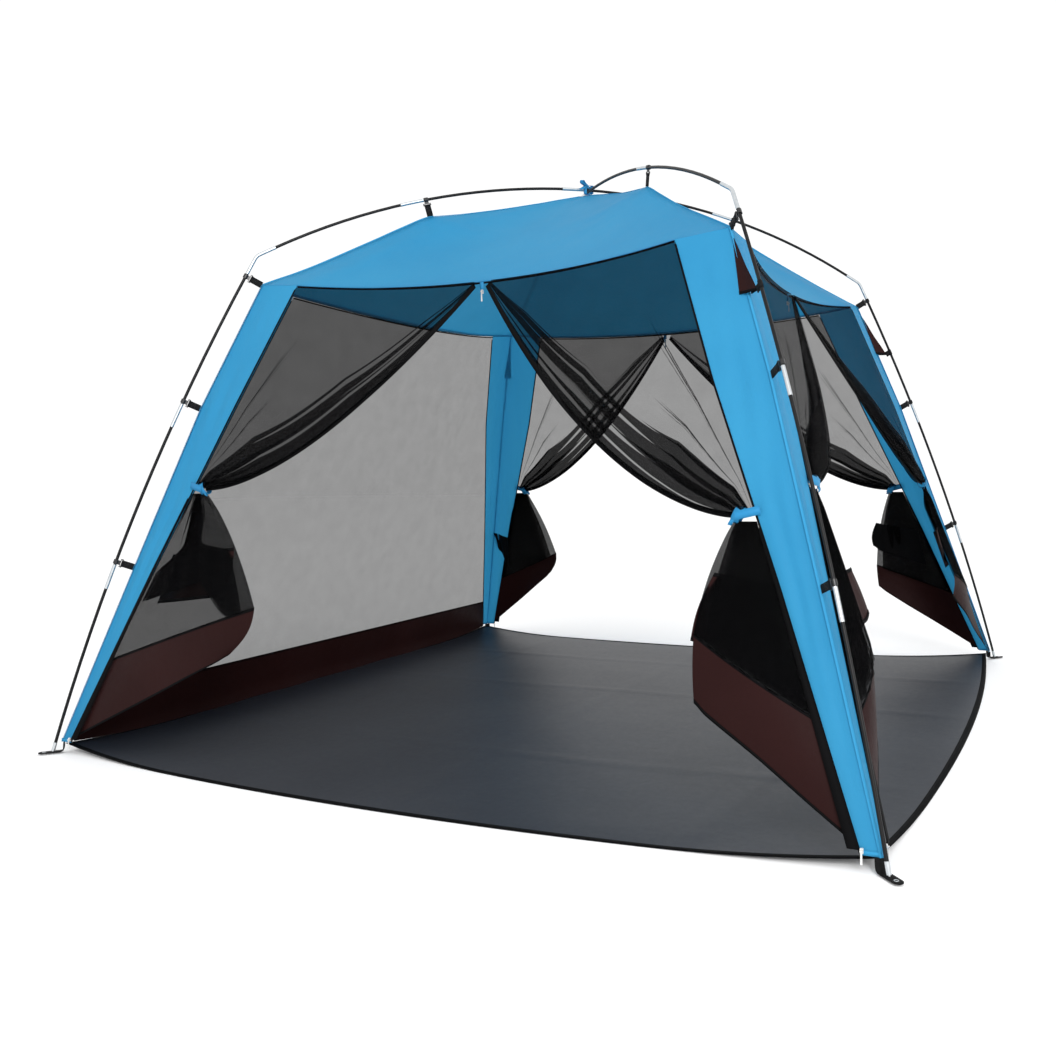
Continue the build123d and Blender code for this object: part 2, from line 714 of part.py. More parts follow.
def zip_places():
    """Where each pull pivots: name, side, and the point in that side's own front view."""
    top = under_eave(0) - Vector(0, 0, zip_tab_length + seam_gap + slider_length / 2)
    foot_height = cover_bottom + foot_zip_rise
    foot_x = cover_edge(foot_height) + slider_width / 2
    lean = (ridge[0].X - ridge[1].X) / root_two / (ridge[1].Z - ridge[0].Z)
    out = pivot_rise + slider_height / 2 + cloth_thickness / 2 + seam_gap + lean * slider_length / 2
    places = [("top_" + side, side, Vector(top.X, top.Y - pivot_rise, top.Z)) for side in ("front", "right", "back")]
    for name, side, turn in (("foot_front_right", "front", 1), ("foot_front_left", "front", -1),
                             ("foot_right_front", "right", -1), ("foot_back_left", "back", 1)):
        places.append((name, side, on_side(turn * foot_x, foot_height, out)))
    return places


def build_zips():
    slider, pull = zip_slider(), zip_pull()
    for name, side, point in zip_places():
        place = Rot(Z=sides[side]) * Pos(*point)
        keep("zip_sliders", place * slider)
        keep("zip_pull_" + name, place * pull)
    tab = Box(zip_tab_width, cloth_thickness, zip_tab_length)
    for side in ("front", "right", "back"):
        middle = under_eave(0) - Vector(0, 0, zip_tab_length / 2)
        keep("zip_tabs", Rot(Z=sides[side]) * Pos(*middle) * tab)


# ---------------------------------------------------------------- vent hoods and their loops
def build_hoods():
    """Folded hoods on three legs, each held out from the cover's ridge by a loop round the pole."""
    for corner in ("front_right", "back_right", "back_left"):
        line, _ = pole_ends[corner]
        distance = clip_stations(line)["shoulder"] - hood_loop_step
        frame = strap_frame(line, distance)
        down = (ridge[2] - ridge[3]).normalized()
        apex = ridge[3] + down * hood_drop
        low = apex + down * hood_height
        lift = (cloth_thickness + seam_gap) * root_two
        side = hood_side / root_two
        apex += Vector(lift, 0, 0)
        top = hood_side / 6
        tip = frame.from_local_coords(Vector(hood_tip_reach, 0, 0))
        rows = [[apex + Vector(-top, -top, 0), apex, apex + Vector(-top, top, 0)], [Vector(low.X + lift - side, -side, low.Z), tip, Vector(low.X + lift - side, side, low.Z)]]
        keep("vent_hoods", turned(corners[corner], cloth(rows)))
        bore = pole_diameter / 2 + hood_loop_slack
        ring = make_hull(Circle(bore + webbing_thickness).edges() + (Pos(2 * bore, 0) * Circle(webbing_thickness)).edges())
        tail = hood_tip_reach - cloth_thickness - seam_gap
        ring += Pos(tail / 2, 0) * Rectangle(tail, 2 * webbing_thickness)
        loop = extrude(ring - Circle(bore), amount=webbing_width / 2, both=True)
        keep("hood_loops", Rot(Z=corners[corner]) * frame.location * loop)


# ---------------------------------------------------------------- feet
def build_feet():
    """Webbing from each cover's foot, with an eye for the pole's pin and a hole for a peg."""
    foot = foot_offset * root_two
    start = ridge[0].X - foot_webbing_width / 4
    middle = foot_webbing_rise + foot_webbing_thickness / 2
    end = foot + foot_tongue
    path = Polyline((start, cover_bottom - 2 * seam_gap), (start + middle / 2, middle), (end, middle))
    strip = extrude(Plane.XZ * trace(path, foot_webbing_thickness), amount=foot_webbing_width / 2, both=True)
    plan = Pos((start + end) / 2 - foot_webbing_width / 2, 0) * Rectangle(end - start, foot_webbing_width)
    plan += Pos(end - foot_webbing_width / 2, 0) * Circle(foot_webbing_width / 2)
    strip &= extrude(plan, amount=2 * cover_bottom, both=True)
    pin = over.at(middle)[0].X
    strip -= Pos(pin, 0, 0) * Cylinder(foot_pin_diameter / 2 + 1.5, 4 * middle)
    strip -= Pos(pin + peg_hole_from_pin, 0, 0) * Cylinder(peg_hole_diameter / 2, 4 * middle)
    for angle in corners.values():
        keep("foot_webbing", turned(angle, strip.solid()))


# ---------------------------------------------------------------- trim: piping and the ribbon at the crossing
def build_piping():
    points = []
    for share in across:
        edge = eave(share * (eave_inner - 4 * seam_gap))
        points.append(edge - Vector(0, piping_diameter / 2 + 2 * seam_gap, 0))
    half = piping_diameter / 2
    pipe = strand(points, [(half, half)] * len(points), corners_round=6)
    for side, angle in sides.items():
        keep("eave_piping", turned(angle, pipe))


def build_ribbon():
    """Ribbon round both poles where they cross, tied in a bow on top."""
    half = (ribbon_width / 2 + sleeve_diameter / 2 * root_two) + pole_clearance
    low = crown_height - crossing_offset - sleeve_diameter / 2 - pole_clearance
    high = crown_height + crossing_offset + sleeve_diameter / 2 + pole_clearance
    inner = RectangleRounded(2 * half, high - low, pole_diameter / 2)
    outer = RectangleRounded(2 * (half + ribbon_thickness), high - low + 2 * ribbon_thickness,
                             pole_diameter / 2 + ribbon_thickness)
    upright = Plane(origin=(0, 0, (low + high) / 2), x_dir=(0, 1, 0), z_dir=(1, 0, 0))
    band = extrude(upright * (outer - inner), amount=ribbon_width / 2, both=True)
    top = high + ribbon_thickness
    knot_height = bow_height / 2 + ribbon_thickness
    knot = Pos(0, 0, top + knot_height / 2 - 0.7 * ribbon_thickness)
    knot *= Box(ribbon_width * 0.8, ribbon_width * 0.9, knot_height)
    bow = band + knot
    upright = Plane(origin=(0, 0, top + bow_height / 4), x_dir=(0, 1, 0), z_dir=(1, 0, 0))
    for turn, share in ((16, 1.0), (164, 1.0), (-24, 0.8), (204, 0.85)):
        far = Pos(bow_length * share - bow_height / 2, 0) * Circle(bow_height / 2)
        outline = make_hull(far.edges() + Circle(bow_height / 5).edges())
        loop = outline - offset(outline, -ribbon_thickness) if share == 1.0 else \
            Pos(bow_length * share / 2, 0) * Rectangle(bow_length * share, ribbon_thickness)
        bow += extrude(upright * Rot(Z=turn) * loop, amount=ribbon_width / 2 * share, both=True)
    keep("crown_ribbon", bow.solid())


build_poles()
build_clips()
build_canopy()
build_leg_covers()
build_floor()
build_wall()
build_doors()
build_zips()
build_hoods()
build_feet()
build_piping()
build_ribbon()
os.makedirs("parts", exist_ok=True)
for name, solids in parts.items():
    export_step(Compound(children=solids), f"parts/{name}.step")
print(len(parts), "nodes,", sum(len(solids) for solids in parts.values()), "solids")
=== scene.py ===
"""Looks of the screen gazebo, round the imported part. Metres; origin on the ground; the front faces -Y."""
import json
import math
from collections import namedtuple

import bpy
import numpy as np
from mathutils import Matrix, Vector, noise


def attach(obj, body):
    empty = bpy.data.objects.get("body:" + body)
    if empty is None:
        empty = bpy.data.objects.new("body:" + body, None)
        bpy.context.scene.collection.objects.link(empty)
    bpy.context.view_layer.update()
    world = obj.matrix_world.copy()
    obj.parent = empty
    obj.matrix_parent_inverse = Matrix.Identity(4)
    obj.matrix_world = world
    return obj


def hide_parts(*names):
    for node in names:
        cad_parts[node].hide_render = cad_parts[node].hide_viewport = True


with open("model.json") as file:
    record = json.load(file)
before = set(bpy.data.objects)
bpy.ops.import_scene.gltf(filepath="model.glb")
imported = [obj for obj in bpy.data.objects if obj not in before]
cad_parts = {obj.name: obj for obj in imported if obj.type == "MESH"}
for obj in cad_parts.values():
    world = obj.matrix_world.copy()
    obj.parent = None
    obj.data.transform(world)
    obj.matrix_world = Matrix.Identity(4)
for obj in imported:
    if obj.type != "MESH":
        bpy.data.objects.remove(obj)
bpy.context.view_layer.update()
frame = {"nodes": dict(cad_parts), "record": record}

# ---------------- camera, light and floor
# Waist height, a little to the right of the front right leg, as for a catalogue picture of a garden shelter.
# The frame is 1056 pixels square; the view's middle lies left of the optical axis.
FRAME_PIXELS, FOCAL_PIXELS = 1056, 1027.4
AXIS_PIXEL = (601.2, 536.5)
YAW, PITCH, ROLL = 0.4453, -0.0686, -0.021
EYE = (1.9275, -3.9711, 1.0102)
LAMP_PLACE, LAMP_TARGET = Vector((4.5, -6.5, 4.0)), Vector((0.6, -0.6, 1.7))
FLOOR_REACH = 30

scene = bpy.context.scene
camera_data = bpy.data.cameras.new("camera")
camera_data.sensor_width = 36.0
camera_data.lens = camera_data.sensor_width * FOCAL_PIXELS / FRAME_PIXELS
camera_data.shift_x = (FRAME_PIXELS / 2 - AXIS_PIXEL[0]) / FRAME_PIXELS
camera_data.shift_y = (AXIS_PIXEL[1] - FRAME_PIXELS / 2) / FRAME_PIXELS
camera = bpy.data.objects.new("camera", camera_data)
scene.collection.objects.link(camera)
ahead = Vector((-math.sin(YAW) * math.cos(PITCH), math.cos(YAW) * math.cos(PITCH), math.sin(PITCH)))
level = ahead.cross(Vector((0, 0, 1))).normalized()
upright = level.cross(ahead)
turned_level = math.cos(ROLL) * level + math.sin(ROLL) * upright
turned_up = -math.sin(ROLL) * level + math.cos(ROLL) * upright
placing = Matrix((turned_level, turned_up, -ahead)).transposed().to_4x4()
placing.translation = Vector(EYE)
camera.matrix_world = placing
scene.camera = camera
scene.view_settings.view_transform = "Standard"

world = bpy.data.worlds.new("studio")
world.use_nodes = True
sky = world.node_tree.nodes["Background"]
sky.inputs["Color"].default_value = (1, 1, 1, 1)
sky.inputs["Strength"].default_value = 1.06
scene.world = world

lamp = bpy.data.lights.new("key", "AREA")
lamp.shape = "DISK"
lamp.size = 3.0
lamp.energy = 330
holder = bpy.data.objects.new("key", lamp)
holder.location = LAMP_PLACE
holder.rotation_mode = "QUATERNION"
holder.rotation_quaternion = (LAMP_TARGET - LAMP_PLACE).to_track_quat("-Z", "Y")
scene.collection.objects.link(holder)


def mesh_piece(name, points, faces, material, uvs=None, smooth=True):
    """A mesh object from points and faces. uvs are in metres, one per point, so a weave keeps its scale."""
    data = bpy.data.meshes.new(name)
    data.from_pydata([tuple(map(float, p)) for p in points], [], faces)
    layer = data.uv_layers.new(name="UVMap")
    if uvs is not None:
        picked = np.zeros(len(data.loops), np.int32)
        data.loops.foreach_get("vertex_index", picked)
        layer.data.foreach_set("uv", np.asarray(uvs, np.float32)[picked].ravel())
    data.polygons.foreach_set("use_smooth", [smooth] * len(data.polygons))
    data.materials.append(material)
    data.update()
    piece = bpy.data.objects.new(name, data)
    scene.collection.objects.link(piece)
    return piece


def new_material(name, values=None):
    """A material, its node tree, its Principled shader, which holds the values, and its output."""
    material = bpy.data.materials.new(name)
    material.use_nodes = True
    tree = material.node_tree
    tree.nodes.clear()
    shader = add(tree, "BsdfPrincipled", values)
    output = add(tree, "OutputMaterial", {"Surface": shader.outputs["BSDF"]})
    return material, tree, shader, output


def add(tree, kind, values=None, **settings):
    """A node with its settings; values maps input names or numbers to a constant or to a socket to link."""
    node = tree.nodes.new("ShaderNode" + kind)
    for key, value in settings.items():
        setattr(node, key, value)
    for key, value in (values or {}).items():
        if isinstance(value, bpy.types.NodeSocket):
            tree.links.new(value, node.inputs[key])
        else:
            node.inputs[key].default_value = value
    return node


values = {"Roughness": 0.9, "Emission Color": (1, 1, 1, 1), "Emission Strength": 0.05}
floor_material, tree, shader, _ = new_material("studio_floor", values)
speckle = add(tree, "TexNoise", {"Scale": 3.0, "Detail": 3.0})
tone = add(tree, "MapRange", {"Value": speckle.outputs["Fac"], "To Min": 0.955, "To Max": 0.972})
tree.links.new(tone.outputs["Result"], shader.inputs["Base Color"])
floor_corners = [(x * FLOOR_REACH, y * FLOOR_REACH, 0) for x, y in ((-1, -1), (1, -1), (1, 1), (-1, 1))]
mesh_piece("studio_floor", floor_corners, [(0, 1, 2, 3)], floor_material)

# ---------------- poles, elbows, ferrules and feet
# Black pultruded fibreglass tube, satin, with faint lengthwise streaks of resin and scuffs from being fed
# through. The sleeves, elbows and foot caps are zinc-plated steel tube, drawn along their length.


def ranged(tree, factor, low, high, from_low=0.0, from_high=1.0):
    values = {"Value": factor, "From Min": from_low, "From Max": from_high, "To Min": low, "To Max": high}
    return add(tree, "MapRange", values).outputs["Result"]


def mottle(tree, scale, detail=2.0, roughness=0.5):
    """Noise at the piece's own coordinates."""
    place = add(tree, "TexCoord").outputs["Object"]
    values = {"Vector": place, "Scale": scale, "Detail": detail, "Roughness": roughness}
    return add(tree, "TexNoise", values).outputs["Fac"]


def coloured(tree, shader, factor, low, high):
    """Base colour between two ends, by a factor socket."""
    blend = add(tree, "Mix", {0: factor, 6: (*low, 1), 7: (*high, 1)}, data_type="RGBA")
    tree.links.new(blend.outputs[2], shader.inputs["Base Color"])


def roughened(tree, shader, factor, low, high):
    tree.links.new(ranged(tree, factor, low, high), shader.inputs["Roughness"])


def bumped(tree, shader, height, strength, distance):
    bump = add(tree, "Bump", {"Strength": strength, "Distance": distance, "Height": height})
    tree.links.new(bump.outputs["Normal"], shader.inputs["Normal"])


def dress(material, *beginnings):
    """Gives a material to the CAD nodes whose names begin with any of these."""
    for name, node in frame["nodes"].items():
        if name.startswith(beginnings):
            node.material_slots[0].material = material


fibreglass, tree, shader, _ = new_material("fibreglass", {"Specular IOR Level": 0.22})
streaks = mottle(tree, 420.0, 4.0, 0.6)
worn = ranged(tree, mottle(tree, 28.0, 6.0, 0.7), 0.0, 1.0, 0.58, 0.75)
coloured(tree, shader, worn, (0.005, 0.005, 0.0055), (0.016, 0.016, 0.017))
roughened(tree, shader, streaks, 0.30, 0.46)
bumped(tree, shader, streaks, 0.12, 0.0003)
dress(fibreglass, "leg_rods", "roof_rods")

zinc, tree, shader, _ = new_material("zinc_steel", {"Metallic": 1.0})
drawn = mottle(tree, 900.0)
coloured(tree, shader, mottle(tree, 60.0, 5.0), (0.46, 0.50, 0.53), (0.74, 0.76, 0.77))
roughened(tree, shader, drawn, 0.26, 0.42)
bumped(tree, shader, drawn, 0.08, 0.0002)
dress(zinc, "shoulder_elbows", "ferrules", "foot_caps", "foot_pins")

# ---------------- clips
# Glossy black nylon mouldings, with a fine moulded grain and the edges rubbed a little by the poles.
clip_plastic, tree, shader, _ = new_material("clip_plastic")
place = add(tree, "TexCoord").outputs["Object"]
grain = add(tree, "TexVoronoi", {"Vector": place, "Scale": 1400.0}).outputs["Distance"]
rubbed = mottle(tree, 160.0, 4.0)
coloured(tree, shader, ranged(tree, rubbed, 0, 1, 0.5, 0.8), (0.010, 0.010, 0.011), (0.035, 0.035, 0.036))
roughened(tree, shader, rubbed, 0.22, 0.38)
bumped(tree, shader, grain, 0.06, 0.0002)
dress(clip_plastic, "pole_clip")

# ---------------- canopy
# One sheet of coated polyester in four gores, felled together along the ridges under the poles and hung from
# the roof and shoulder straps, so that each eave is drawn in and sags towards its middle. Cut 1.98 m square.


def thread_group():
    """Plain weave: two crossed waves with a slow wobble. Scale is threads a metre over 3.2."""
    group = bpy.data.node_groups.new("plain_weave", "ShaderNodeTree")
    group.interface.new_socket("Vector", in_out="INPUT", socket_type="NodeSocketVector")
    group.interface.new_socket("Scale", in_out="INPUT", socket_type="NodeSocketFloat")
    group.interface.new_socket("Height", in_out="OUTPUT", socket_type="NodeSocketFloat")
    inward = group.nodes.new("NodeGroupInput")
    outward = group.nodes.new("NodeGroupOutput")
    over = group.nodes.new("ShaderNodeMath")
    over.operation = "MAXIMUM"
    for k, direction in enumerate(("X", "Y")):
        wave = group.nodes.new("ShaderNodeTexWave")
        wave.bands_direction = direction
        wave.inputs["Distortion"].default_value = 0.4
        group.links.new(inward.outputs["Vector"], wave.inputs["Vector"])
        group.links.new(inward.outputs["Scale"], wave.inputs["Scale"])
        group.links.new(wave.outputs["Fac"], over.inputs[k])
    group.links.new(over.outputs[0], outward.inputs["Height"])
    return group


plain_weave = thread_group()


def woven(tree, scale):
    """The weave's height at the piece's own flat coordinates."""
    flat = add(tree, "TexCoord").outputs["UV"]
    weave = add(tree, "Group", node_tree=plain_weave)
    tree.links.new(flat, weave.inputs["Vector"])
    weave.inputs["Scale"].default_value = scale
    return weave.outputs["Height"]


def layered_relief(tree, shader, soft, soft_depth, weave, weave_depth):
    """Soft crinkles with the threads' relief over them. Each depth is a strength and a distance."""
    crease = add(tree, "Bump", {"Strength": soft_depth[0], "Distance": soft_depth[1], "Height": soft})
    values = {"Strength": weave_depth[0], "Distance": weave_depth[1], "Height": weave,
              "Normal": crease.outputs["Normal"]}
    tree.links.new(add(tree, "Bump", values).outputs["Normal"], shader.inputs["Normal"])
    return crease.outputs["Normal"]


def cloth_material(name, dark, light, scale, roughness, crinkle=0.25, translucent=None, gloss=0.12):
    """Woven cloth: thread relief, cloudy shade, soft crinkles, and light through it where it is thin."""
    material, tree, shader, output = new_material(name, {"Specular IOR Level": gloss})
    weave = woven(tree, scale)
    clouds = ranged(tree, mottle(tree, 2.2, 4.0), 0.0, 0.7, 0.3, 0.7)
    shade = add(tree, "Math", {0: clouds, 1: ranged(tree, weave, 0.0, 0.3)}, operation="ADD")
    coloured(tree, shader, shade.outputs[0], dark, light)
    roughened(tree, shader, mottle(tree, 90.0, 3.0), roughness - 0.06, roughness + 0.06)
    soft = mottle(tree, 11.0, 5.0, 0.55)
    normal = layered_relief(tree, shader, soft, (crinkle, 0.012), weave, (0.25, 0.0003))
    if translucent:
        through = add(tree, "BsdfTranslucent", {"Color": (*translucent, 1), "Normal": normal})
        shaders = {0: 0.30, 1: shader.outputs["BSDF"], 2: through.outputs["BSDF"]}
        tree.links.new(add(tree, "MixShader", shaders).outputs[0], output.inputs["Surface"])
    return material


blue_cloth = cloth_material("blue_polyester", (0.030, 0.262, 0.500), (0.042, 0.318, 0.565), 420.0, 0.52,
                            translucent=(0.05, 0.42, 0.75))
seam_blue = cloth_material("blue_seam", (0.026, 0.235, 0.46), (0.036, 0.285, 0.52), 420.0, 0.55, crinkle=0.1)
black_binding = cloth_material("black_binding", (0.0015, 0.0015, 0.0018), (0.005, 0.005, 0.0055), 500.0, 0.7,
                               crinkle=0.1, gloss=0.04)

ROOT2 = math.sqrt(2)
# The covers' ridge under a pole, from foot to shoulder: reach on the diagonal, height.
RIDGE = np.array(((2.0873, 0.042), (1.8149, 0.6705), (1.5586, 1.2564), (1.3194, 1.7238)))
COVER_FOOT = RIDGE[0, 1]
SHOULDER_REACH, SHOULDER_HEIGHT = RIDGE[-1]
WIDTHS = (0.048, 0.106, 0.172, 0.185)   # of one cover face at the ridge's heights
EAVE_CORNER, EAVE_INNER = 0.9329, 0.7550   # half of an eave: out to the ridge, and to the cover's edge
EAVE_DROP = 0.018   # of the eave, from the ridge to the cover's edge
EAVE_SAG, EAVE_DRAW = 0.044, 0.084   # of its middle, down and in
EAVE_HEIGHT = 1.680   # where a side's cloth is drawn in as far as the eave
SEWN_DROP = 0.0024   # of the mesh's top below the eave
PEAK = 2.1468   # of the canopy
# Reach and height of the canopy's ridge at its strap, by the pole over it.
ROOF_STRAP = {"over": (0.6660, 2.0216), "under": (0.6634, 2.0135)}
POLE_OF = {"front_left": "over", "back_right": "over", "back_left": "under", "front_right": "under"}
CORNERS = {"front_right": -45, "back_right": 45, "back_left": 135, "front_left": 225}
SIDES = {"front": 0, "right": 90, "back": 180, "left": 270}


def reach_at(z):
    """How far the cover's ridge stands from the centre, along X and along Y, at a height."""
    return np.interp(z, RIDGE[:, 1], RIDGE[:, 0]) / ROOT2


def edge_at(z):
    """Where the cover's edge is along a side, from the side's middle."""
    return reach_at(z) - np.interp(z, RIDGE[:, 1], WIDTHS)


def slack(x):
    return np.clip(1 - (x / EAVE_INNER) ** 2, 0, 1)


def eave(x):
    """Depth and height of the front eave at a distance along it."""
    inner = np.minimum(1, (EAVE_CORNER - np.abs(x)) / (EAVE_CORNER - EAVE_INNER))
    z = SHOULDER_HEIGHT - EAVE_DROP * inner
    return EAVE_DRAW * slack(x) - reach_at(z), z - EAVE_SAG * slack(x)


def side_depth(x, z):
    """Depth of the front side's cloth; its middle is drawn in towards the eave."""
    return EAVE_DRAW * slack(x) * (z / EAVE_HEIGHT) ** 2 - reach_at(z)


def placed(points, degrees, sign=1):
    """Points of the front side, mirrored where sign is -1, turned about the middle of the floor."""
    points = np.asarray(points) * (sign, 1, 1)
    a = math.radians(degrees)
    spin = np.array([[math.cos(a), -math.sin(a), 0], [math.sin(a), math.cos(a), 0], [0, 0, 1]])
    return (points.reshape(-1, 3) @ spin.T).reshape(points.shape)


def corner_axes(corner):
    """Unit vectors outward along a corner's diagonal, and across it."""
    a = math.radians(CORNERS[corner])
    return np.array((math.cos(a), math.sin(a), 0)), np.array((-math.sin(a), math.cos(a), 0))


def ripple(rows, size, scale, seed):
    """Smooth seeded noise, one value for each point of an array of rows."""
    shift = Vector((seed * 7.3, seed * 3.1, seed * 1.7))
    values = [noise.noise(Vector(p) * scale + shift) for p in rows.reshape(-1, 3)]
    return size * np.array(values).reshape(rows.shape[:-1])


def bulge(points, place, size):
    return np.exp(-((points - place) / size) ** 2)


def sheet_piece(name, rows, material, closed=False):
    """A sheet from an array of rows of points, with flat coordinates that follow the cloth."""
    rows = np.asarray(rows, float)
    r, c = rows.shape[:2]
    along = np.zeros((r, c))
    down = np.zeros((r, c))
    along[:, 1:] = np.cumsum(np.linalg.norm(np.diff(rows, axis=1), axis=2), axis=1)
    down[1:] = np.cumsum(np.linalg.norm(np.diff(rows, axis=0), axis=2), axis=0)
    faces = []
    for i in range(r - 1):
        for j in range(c if closed else c - 1):
            a, b = i * c + j, i * c + (j + 1) % c
            faces.append((a, b, b + c, a + c))
    uvs = np.stack((along.ravel(), down.ravel()), 1)
    piece = mesh_piece(name, rows.reshape(-1, 3), faces, material, uvs)
    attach(piece, "tent")
    return piece


def strip_piece(name, line, across, width, material, thickness=0.0008):
    """A flat tape along a line of points. across is its width's direction, one or one for each point."""
    line = np.asarray(line, float)
    across = np.asarray(across, float) * np.ones((len(line), 1))
    across = across / np.linalg.norm(across, axis=1, keepdims=True)
    heading = np.gradient(line, axis=0)
    heading /= np.linalg.norm(heading, axis=1, keepdims=True)
    side, up = across * width / 2, np.cross(heading, across) * thickness / 2
    ring = [line - side - up, line + side - up, line + side + up, line - side + up]
    return sheet_piece(name, np.stack(ring, axis=1), material, closed=True)


def canopy_quarter(left, right, columns, rings):
    """The front gore, ring by ring from the peak to the eave, between the ridges under two poles."""
    quarter = []
    for share in np.arange(rings + 1) / rings:
        reach = share * SHOULDER_REACH
        ey, ez = eave(columns * EAVE_CORNER)
        heights = []
        for sx, sz in (ROOF_STRAP[left], ROOF_STRAP[right]):
            z = np.interp(reach, (0, sx, SHOULDER_REACH), (PEAK, sz, SHOULDER_HEIGHT))
            span = (reach / sx) if reach < sx else (reach - sx) / (SHOULDER_REACH - sx)
            heights.append(z - 0.009 * math.sin(math.pi * span))
        ridge = np.where(columns < 0, heights[0], heights[1])
        straight = PEAK + (ez - PEAK) * share
        plain = PEAK + (SHOULDER_HEIGHT - PEAK) * share
        billow = 0.022 * 4 * share * (1 - share) * (1 - np.abs(columns))
        z = straight + (ridge - plain) * columns**2 + billow
        y = np.where(np.abs(columns) == 1, -reach / ROOT2, share * ey)
        quarter.append(np.stack((columns * reach / ROOT2, y, z), 1))
    return np.array(quarter)


def pulled(rows, anchors, size, folds, far):
    """Tension folds that fan out from each strap and die away with distance."""
    lift = np.zeros(rows.shape[:-1])
    for k, (ax, ay) in enumerate(anchors):
        dx, dy = rows[..., 0] - ax, rows[..., 1] - ay
        away = np.hypot(dx, dy)
        near = np.clip(away / 0.05, 0, 1) * np.exp(-away / far)
        lift += size * near * np.sin(folds * np.arctan2(dy, dx) + 1.3 * k)
    return lift


RINGS, STEPS = 44, 40   # of a gore, from peak to eave and from ridge to ridge
STRAP_REACH = (0.665, SHOULDER_REACH)
columns = np.linspace(-1, 1, STEPS + 1)
gores = [canopy_quarter(*poles, columns, RINGS) for poles in (("over", "under"), ("under", "over"))] * 2
rows = np.concatenate([placed(gore[:, :-1], 90 * k) for k, gore in enumerate(gores)], axis=1)
anchors = [corner_axes(corner)[0][:2] * reach for corner in CORNERS for reach in STRAP_REACH]
stretch = pulled(rows, anchors, 0.0042, 13, 0.16) + ripple(rows, 0.005, 2.6, 1)
stretch += ripple(rows, 0.0016, 9.0, 2)
share = np.linspace(0, 1, RINGS + 1)[:, None]
rows[:, :, 2] += stretch * np.clip(share * 8, 0, 1) * np.clip((1 - share) * 12, 0.15, 1)
canopy = sheet_piece("canopy_sheet", rows, blue_cloth, closed=True)
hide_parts("roof_canopy")

rise = (0, 0, 0.0012)
for k in range(4):
    line = rows[1:, STEPS * k] + rise
    strip_piece(f"ridge_seam_{k}", line, placed((1, 1, 0), 90 * k), 0.014, seam_blue)
rim = np.concatenate((rows[-1], rows[-1, :1]))
for k in range(4):
    edge = rim[STEPS * k:STEPS * (k + 1) + 1]
    inward = -edge * (1, 1, 0)
    line = edge + rise + inward * 0.012
    strip_piece(f"eave_hem_{k}", line, inward + (0, 0, 0.28), 0.022, seam_blue)

# ---------------- leg covers
# A folded length of the same polyester round the inside of each pole, wide at the shoulder and narrow at the
# foot, felled along its ridge and held off the pole by three straps. It creases where straps and ties pull.
LOWER, UPPER = RIDGE[1:3, 1]   # the straps' heights under the shoulder
COVER_PULLS = ((LOWER, 0.7), (UPPER, 1.0), (SHOULDER_HEIGHT, 1.4), (0.856, 0.9))   # height and strength
COVER_TOP = 1.69   # last row below the eave


def cover_rows(seed):
    """The front right cover, before it is turned to its corner."""
    across = np.linspace(0, 1, 15)
    fronts = []
    for z in np.linspace(COVER_FOOT, COVER_TOP, 70):
        r, e = float(reach_at(z)), float(edge_at(z))
        fronts.append(np.stack((e + (r - e) * across, np.full(15, -r), np.full(15, z)), 1))
    x = EAVE_INNER + (EAVE_CORNER - EAVE_INNER) * across
    fronts.append(np.stack((x, eave(x)[0], eave(x)[1] - 0.0003), 1))
    fronts = np.array(fronts)
    faces = fronts[:, -2::-1]
    rows = np.concatenate((fronts, np.stack((-faces[..., 1], -faces[..., 0], faces[..., 2]), -1)), axis=1)
    z = rows[:, :, 2]
    share = np.abs(np.linspace(-1, 1, rows.shape[1]))[None, :]
    inside = np.sin(np.pi * share) * np.clip((1.70 - z) * 6, 0, 1) * np.clip((z - COVER_FOOT) * 8, 0, 1)
    fold = np.zeros_like(z)
    for pull, strength in COVER_PULLS:
        lean = (z - pull) * 9 + (share - 0.2) * 13
        fold += strength * np.exp(-np.abs(z - pull) / 0.17) * np.sin(lean + seed)
    wave = ripple(rows, 1.0, 5.0, seed)
    wave += 0.6 * ripple(rows * (3, 3, 1), 1.0, 4.0, seed + 9)
    push = (0.0045 * fold + 0.0060 * wave) * inside
    half = rows.shape[1] // 2
    rows[:, :half, 1] -= push[:, :half]
    rows[:, half + 1:, 0] += push[:, half + 1:]
    return rows


for seed, (corner, angle) in enumerate(CORNERS.items()):
    rows = placed(cover_rows(seed * 2.1), angle + 45)
    cover = sheet_piece(f"cover_{corner}", rows, blue_cloth)
    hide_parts(f"leg_cover_{corner}")
    out, tangent = corner_axes(corner)
    extras = [strip_piece(f"cover_seam_{corner}", rows[:, 14] + out * 0.0015, tangent, 0.011, seam_blue),
              strip_piece(f"cover_hem_{corner}", rows[0] + (0, 0, 0.006), (0, 0, 1.0), 0.012, seam_blue)]

# ---------------- straps
# Black 25 mm webbing, one loop round each clip's bar, doubled and box-stitched where it meets the ridge.
WEBBING_WIDTH, WEBBING_THICKNESS, WEBBING_HALF = 0.0245, 0.0013, 0.0008
values = {"Roughness": 0.62, "Specular IOR Level": 0.10}
webbing, tree, shader, _ = new_material("webbing", values)
weave = woven(tree, 105.0)
dust = ranged(tree, mottle(tree, 70.0, 4.0), 0.5, 1.2)
shade = add(tree, "Math", {0: weave, 1: dust}, operation="MULTIPLY")
coloured(tree, shader, shade.outputs[0], (0.002, 0.002, 0.0025), (0.010, 0.010, 0.0105))
bumped(tree, shader, weave, 0.5, 0.0008)

thread, tree, shader, _ = new_material("stitch_thread", {"Roughness": 0.7})
twist = mottle(tree, 900.0)
coloured(tree, shader, twist, (0.018, 0.018, 0.019), (0.06, 0.06, 0.062))
bumped(tree, shader, twist, 0.3, 0.0003)


